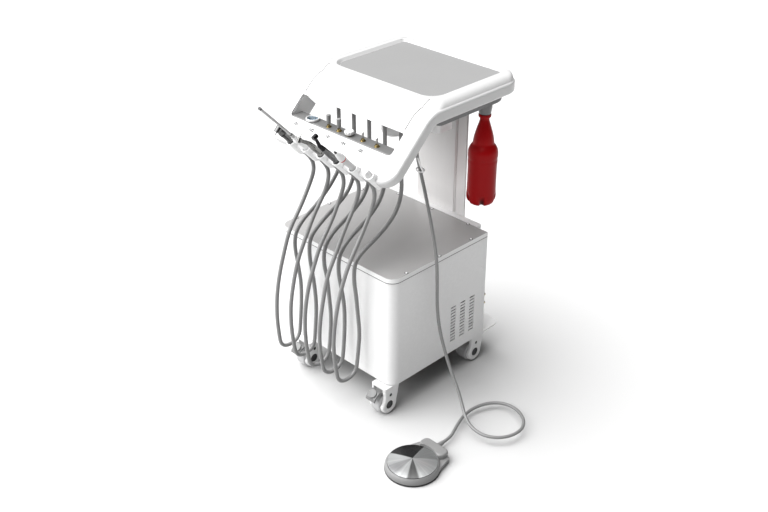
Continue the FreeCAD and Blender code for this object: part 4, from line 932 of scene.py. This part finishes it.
class DENTAL_OT_cabinet(bpy.types.Operator):
    """Finishes the cabinet: powder-coated shell, grey top, screws, base, column, rear cover and services"""

    bl_idname = "dental.cabinet"
    bl_label = "Cabinet"

    def execute(self, context):
        refined("cabinet_shell", "powder_coat_white", 0.5)
        refined("top_plate", "powder_coat_grey", 0.7)
        refined("rear_cover", "powder_coat_white", 0.6)
        refined("base_plate", "powder_coat_base", 0.6)
        for node, finish in (("inlet_fittings", "turned_brass"), ("mains_socket", "moulded_black"),
                             ("compressor", "cast_alloy"), ("air_tank", "powder_coat_white"),
                             ("suction_pump", "cast_alloy"), ("fan_frame", "moulded_black"),
                             ("fan_rotor", "moulded_black"), ("caster_sockets", "zinc_plate")):
            dress(node, finish)
        self.screws(context.scene.dental_sizes.screw_head)
        refined("column", "brushed_column", 0.8)
        return {"FINISHED"}

    def screws(self, size):
        """The sheet metal screws, and a black ring like a washer under each one on the top plate: a painted
        shadow round each head.
        """
        low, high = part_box("cabinet_shell")
        top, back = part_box("top_plate")[1].z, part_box("rear_cover")[1].y
        shapes = [screw_shape((x * MM, y * MM, top + 0.0005), UP, size) for x, y in PLATE_SCREWS]
        for x, side in ((low.x, -1), (high.x, 1)):
            shapes.append(screw_shape((x, SIDE_SCREW[0] * MM, SIDE_SCREW[1] * MM), (side, 0, 0), size))
        for x in REAR_SCREW_X:
            shapes += [screw_shape((x * MM, back, z * MM), (0, 1, 0), size) for z in REAR_SCREW_Z]
        piece("cabinet_screws", joined(shapes), "screw_zinc", sharp=28.0)
        # Painted shadow: the black rings stand for the dark rim of shade round each screw head.
        rim, face, under = size * 0.76, 0.0006, -0.0002
        ring = [(0, face), (size * 0.72, face), (rim, 0.0), (rim, under), (0, under)]
        screw_shadow_rings = [turned(ring, (x * MM, y * MM, top), UP, 28) for x, y in PLATE_SCREWS]
        piece("cabinet_screw_shadow_rings", joined(screw_shadow_rings), "moulded_black")


# ------------------------------------------------------------------ head
class DENTAL_OT_head(bpy.types.Operator):
    """Finishes the instrument head, its fascia, mat, pan, holders and what hangs below"""

    bl_idname = "dental.head"
    bl_label = "Instrument head"

    def execute(self, context):
        refined("head_shell", "moulded_white", 0.6)
        refined("fascia", "fascia_white", 0.5)
        refined("tray_mat", "soft_mat_grey", 0.8)
        refined("under_pan", "moulded_dark_grey", 1.0)
        refined("valve_box", "small_white", 0.6)
        refined("filter_bowl", "bowl_grey", 0.4)
        refined("hose_manifold", "moulded_dark_grey", 0.5)
        refined("holder_rail", "small_white", 0.8)
        refined("hose_hook", "small_white", 0.0)
        refined("bottle_cap", "moulded_grey", 0.5)
        return {"FINISHED"}


# ------------------------------------------------------------------ controls
# The numbers' places on the panel in millimetres: across, and down the slope.
NUMBERS = {"101": -150.0, "102": -90.0, "103": -27.0, "104": 30.0, "105": 93.0}
NUMBER_DOWN = 152.0
# The letters' size and boldness as shares of their height, and the ink's thickness.
LETTER_SIZE, LETTER_BOLD, INK = 1.4, 0.07, 0.00006
# The gauge's scale in degrees, and its ticks: every fifth one is longer and wider.
SCALE_START, SCALE_SWEEP, TICKS, LONG_EVERY = -35.0, 250.0, 25, 5
# The dial's height in the case, its gap to the case's rim, its thickness, and the ticks' height over it.
DIAL_HEIGHT, DIAL_GAP, DIAL_THICK, TICK_HEIGHT = 0.0026, 0.0027, 0.0002, 0.00028


def text_mesh(word, height, place, right, up, lift):
    """A flat word on a plane: point = place + x * right + y * up + (z + lift) * out."""
    curve = bpy.data.curves.new("number", "FONT")
    curve.body = word
    curve.size = height * LETTER_SIZE
    curve.align_x = "CENTER"
    curve.align_y = "CENTER"
    curve.extrude = INK
    curve.offset = height * LETTER_BOLD
    local, faces = mesh_of_curve(curve)
    right, up = np.asarray(right, float), np.asarray(up, float)
    verts = place + local[:, :1] * right + local[:, 1:2] * up + (local[:, 2:3] + lift) * np.cross(right, up)
    return verts, faces


def gauge_tick(centre, radius, number):
    """One flat tick of the gauge's scale, from its inner radius to near the dial's edge."""
    long = number % LONG_EVERY == 0
    angle = math.radians(SCALE_START + SCALE_SWEEP / TICKS * number)
    inner, outer = radius * (0.74 if long else 0.84), radius * 0.95
    half = 0.00022 if long else 0.00013
    along = np.array([math.cos(angle), math.sin(angle), 0.0])
    across = np.array([-math.sin(angle), math.cos(angle), 0.0]) * half
    corners = [centre + along * r + across * s for r, s in ((inner, -1), (outer, -1), (outer, 1), (inner, 1))]
    return np.array(corners) + np.array([0, 0, TICK_HEIGHT]), [(0, 1, 2, 3)]


class DENTAL_OT_controls(bpy.types.Operator):
    """Finishes the ledge in the window: gauge, toggles, knob and plain numbers"""

    bl_idname = "dental.controls"
    bl_label = "Controls"

    def execute(self, context):
        refined("control_ledge", "ledge_grey", 0.8)
        refined("gauge_case", "small_white", 0.2)
        dress("gauge_needle", "moulded_black")
        dress("gauge_lens", "gauge_glass")
        refined("valve_bushes", "turned_brass", 0.2)
        for number in (1, 2):
            refined(f"toggle_{number}", "pedal_grey", 0.3)
        for number in (3, 4):
            refined(f"toggle_{number}", "polished_steel", 0.1)
        refined("flow_knob", "small_white", 0.3)

        height = context.scene.dental_sizes.number_height
        numbers = [text_mesh(word, height, on_panel(x, NUMBER_DOWN, 0.0), (1, 0, 0), -PANEL_DOWN, 0.00002)
                   for word, x in NUMBERS.items()]
        piece("control_numbers", joined(numbers), "number_ink")

        low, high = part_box("gauge_case")
        centre = np.array(foot_of("gauge_case")) + np.array([0, 0, low.z + DIAL_HEIGHT])
        radius = (high.x - low.x) / 2 - DIAL_GAP
        dial = turned([(0, DIAL_THICK), (radius, DIAL_THICK), (radius, 0.0)], centre, segments=48)
        piece("gauge_dial", dial, "gauge_dial_blue")
        ticks = [gauge_tick(centre, radius, number) for number in range(TICKS + 1)]
        piece("gauge_ticks", joined(ticks), "moulded_black")
        return {"FINISHED"}


# ------------------------------------------------------------------ handpieces
class DENTAL_OT_handpieces(bpy.types.Operator):
    """Finishes the five handpieces"""

    bl_idname = "dental.handpieces"
    bl_label = "Handpieces"

    def execute(self, context):
        refined("handpiece_1_motor", "tool_1_finish", 0.2)
        refined("handpiece_2_suction", "small_white", 0.3)
        refined("handpiece_2_straw", "tool_2_finish", 0.2)
        refined("handpiece_3_contra_angle", "tool_steel", 0.2)
        refined("handpiece_4_turbine", "tool_4_finish", 0.2)
        refined("handpiece_5_handle", "tool_5_finish", 0.3)
        refined("handpiece_5_nose", "nose_white", 0.2)
        return {"FINISHED"}


# ------------------------------------------------------------------ bottle
FEET = 5
FOOT_TURN = math.radians(9)
FOOT_HEIGHT = 0.036
# Half outlines in millimetres, (radius, height): the blown body, smoothed, and the threaded neck.
BOTTLE_BODY = (
    (8, 5), (17, 2.6), (23, 0.8), (28, 0.2), (32, 1.4), (35.8, 4.6), (38.6, 9.4), (40.4, 16), (40.8, 22.0),
    (40.5, 28.0), (39.7, 40.0), (39.4, 56.0), (39.4, 84.0), (39.5, 108.0), (39.9, 118.0), (40.6, 127.0),
    (39.7, 131.5), (40.3, 135.5), (41.0, 141.0), (41.0, 148.0), (40.2, 156.0), (38.0, 163.0), (34.6, 169.0),
    (31.0, 173.5), (29.2, 176.5), (28.6, 179.5), (28.3, 184.0), (27.4, 190.0), (25.6, 199.0), (22.4, 211.0),
    (18.8, 223.0), (15.6, 233.0), (13.4, 240.5), (12.7, 244.5),
)
BOTTLE_NECK = (
    (12.6, 246.5), (12.6, 250.0), (16.0, 251.4), (17.0, 252.6), (17.2, 254.0), (17.2, 259.2), (16.6, 260.2),
    (11.2, 260.4), (11.2, 269.0), (0, 269.0),
)


def smoothed(keys, count):
    """An outline resampled in equal steps of its length and averaged over five neighbours."""
    keys = np.array(keys)
    steps = np.r_[0, np.cumsum(np.linalg.norm(np.diff(keys, axis=0), axis=1))]
    span = np.linspace(0, 1, count)
    outline = np.column_stack([np.interp(span, steps / steps[-1], keys[:, k]) for k in (0, 1)])
    kernel = np.array([1, 2, 3, 2, 1]) / 9.0
    longer = np.pad(outline, ((2, 2), (0, 0)), mode="edge")
    return np.column_stack([np.convolve(longer[:, k], kernel, "valid") for k in (0, 1)])


def feet(angle, height):
    """The radius's share: near the bottom it falls where cos(feet * angle) passes 0.4, between the feet."""
    depth = np.clip(1 - height / FOOT_HEIGHT, 0, 1) ** 0.9
    return 1 - 0.46 * depth * np.clip(np.cos(FEET * (angle - FOOT_TURN)) - 0.40, 0, 1) ** 0.8


class DENTAL_OT_bottle(bpy.types.Operator):
    """Makes the water bottle with its footed base and ringed shoulder"""

    bl_idname = "dental.bottle"
    bl_label = "Water bottle"

    def execute(self, context):
        x, y, _ = foot_of("water_bottle")
        profile = np.vstack([[(0, 7.5)], smoothed(BOTTLE_BODY, 190), BOTTLE_NECK]) * MM
        shape = turned(profile, (x, y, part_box("water_bottle")[0].z), segments=120, swell=feet)
        piece("bottle_body", shape, "bottle_red", "bottle", 50.0, ("water_bottle",))
        return {"FINISHED"}


# ------------------------------------------------------------------ casters
CASTERS = ("front_right", "front_left", "rear_right", "rear_left")
BRAKED = CASTERS[:2]
# A plug over the axle and a small one above it: (y, z) from the axle and radius; and how deep they sit.
PLUGS = ((0, 0, 0.0128), (0.004, 0.031, 0.0049))
PLUG_DEPTH = 0.0014


class DENTAL_OT_casters(bpy.types.Operator):
    """Finishes the casters: forks, wheels, hub plugs and brake pedals"""

    bl_idname = "dental.casters"
    bl_label = "Casters"

    def execute(self, context):
        for name in CASTERS:
            refined(f"caster_fork_{name}", "caster_white", 0.8)
            refined(f"caster_wheel_{name}", "tyre_grey", 0.4)
            low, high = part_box(f"caster_fork_{name}")
            axle = sum(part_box(f"caster_wheel_{name}"), Vector()) / 2
            plugs = []
            for x, out in ((low.x, -1), (high.x, 1)):
                for dy, dz, r in PLUGS:
                    rim = [(0, 0.0008), (r * 0.5, 0.0008), (r * 0.62, 0.0012), (r * 0.9, 0.0011), (r, 0.0),
                           (r, -0.0004), (0, -0.0004)]
                    seat = (x - out * PLUG_DEPTH, axle.y + dy, axle.z + dz)
                    plugs.append(turned(rim, seat, (out, 0, 0), 36))
            piece(f"caster_plugs_{name}", joined(plugs), "moulded_black", f"fork_{name}")
        for name in BRAKED:
            refined(f"caster_brake_{name}", "brake_grey", 0.6)
        return {"FINISHED"}


# ------------------------------------------------------------------ foot control
class DENTAL_OT_pedal(bpy.types.Operator):
    """Finishes the foot control"""

    bl_idname = "dental.pedal"
    bl_label = "Foot control"

    def execute(self, context):
        refined("pedal_base", "pedal_grey", 0.6)
        refined("pedal_foot_ring", "foot_rubber_black", 0.4)
        refined("pedal_dome", "spun_chrome", 0.3)
        return {"FINISHED"}


# ------------------------------------------------------------------ stage
CAMERA_PLACE = (1.853896, -1.853082, 1.852220)
CAMERA_TILT, CAMERA_TURN = 60, 45
FLOOR_REACH, FLOOR_POINTS, FLOOR_DROP = 14.0, 9, 0.0002


class DENTAL_OT_stage(bpy.types.Operator):
    """Makes the pale floor, the soft studio light and the camera"""

    bl_idname = "dental.stage"
    bl_label = "Stage"

    def execute(self, context):
        scene = context.scene
        self.camera(scene)
        self.floor()
        self.light(scene)
        scene.view_settings.view_transform = "Standard"
        return {"FINISHED"}

    def camera(self, scene):
        """The camera, above the corner between the operator and the bottle."""
        camera = bpy.data.cameras.new("camera")
        camera.lens = 50.0
        camera.sensor_width = 36.0
        camera.clip_end = 60.0
        eye = bpy.data.objects.new("camera", camera)
        eye.location = CAMERA_PLACE
        eye.rotation_euler = (math.radians(CAMERA_TILT), 0, math.radians(CAMERA_TURN))
        scene.collection.objects.link(eye)
        scene.camera = eye

    def floor(self):
        """The floor: a level grid just under the wheels."""
        finish = Finish("studio_floor")
        mottle = finish.place("mottle", Color=(*grey(0.52), 1), Shade=(*grey(0.515), 1), Amount=0.2,
                              Scale=2.0, Roughness=0.9, Spread=0.05)
        finish.shade({"Base Color": mottle["Color"], "Roughness": mottle["Roughness"]})
        line = np.linspace(-FLOOR_REACH, FLOOR_REACH, FLOOR_POINTS)
        x, y = np.meshgrid(line, line, indexing="ij")
        points = np.stack([x, y, np.full_like(x, -FLOOR_DROP)], -1)
        mesh = mesh_from("floor", points, grid_faces(FLOOR_POINTS, FLOOR_POINTS)[:, ::-1])
        mesh.materials.append(material_of("studio_floor"))
        link("floor", mesh, None)

    def light(self, scene):
        """The studio's light: a broad key and a faint fill; the camera itself sees a white backdrop."""
        world = bpy.data.worlds.new("studio")
        world.use_nodes = True
        scene.world = world
        tree = Tree(world.node_tree)
        direction = tree.nodes.new("ShaderNodeTexCoord").outputs["Generated"]

        def glow(towards, start, end, low, high):
            """Brightness that rises smoothly as the sky's direction turns towards one vector."""
            dot = tree.vector("DOT_PRODUCT", direction, Vector(towards).normalized())
            return tree.rise(dot, start, end, low, high)

        key = glow((-0.42, -0.36, 0.83), 0.50, 1.0, 0.0, 6.4)
        fill = glow(UP, 0.0, 0.8, 0.02, 0.10)
        background = tree.nodes["Background"]
        background.inputs["Color"].default_value = (1, 1, 1, 1)
        seen = tree.nodes.new("ShaderNodeLightPath").outputs["Is Camera Ray"]
        tree.feed(background.inputs["Strength"], tree.value("MAXIMUM", tree.plus(key, fill), seen))


# ------------------------------------------------------------------ panel and registration
OPERATORS = (
    DENTAL_OT_stage, DENTAL_OT_hoses, DENTAL_OT_cabinet, DENTAL_OT_head, DENTAL_OT_controls,
    DENTAL_OT_handpieces, DENTAL_OT_bottle, DENTAL_OT_casters, DENTAL_OT_pedal,
)


class DENTAL_PT_unit(bpy.types.Panel):
    """Lists the unit's settings and pieces in the 3D view's sidebar"""

    bl_idname = "DENTAL_PT_unit"
    bl_label = "Dental unit"
    bl_space_type = "VIEW_3D"
    bl_region_type = "UI"
    bl_category = "Dental unit"

    def draw(self, context):
        column = self.layout.column(align=True)
        for group in (context.scene.dental_finish, context.scene.dental_sizes):
            for key in group.bl_rna.properties.keys():
                if key not in ("rna_type", "name"):
                    column.prop(group, key)
        for operator in OPERATORS:
            column.operator(operator.bl_idname)


CLASSES = (DentalUnitFinish, DentalUnitSizes, *OPERATORS, DENTAL_PT_unit)


def register():
    for cls in CLASSES:
        bpy.utils.register_class(cls)
    bpy.types.Scene.dental_finish = bpy.props.PointerProperty(type=DentalUnitFinish)
    bpy.types.Scene.dental_sizes = bpy.props.PointerProperty(type=DentalUnitSizes)


def unregister():
    del bpy.types.Scene.dental_sizes
    del bpy.types.Scene.dental_finish
    for cls in reversed(CLASSES):
        bpy.utils.unregister_class(cls)


def main():
    """Registers the add-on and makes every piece."""
    register()
    for operator in OPERATORS:
        group, name = operator.bl_idname.split(".")
        result = getattr(getattr(bpy.ops, group), name)()
        if "FINISHED" not in result:
            raise RuntimeError(f"{operator.bl_label} did not finish")


if __name__ == "__main__":
    main()
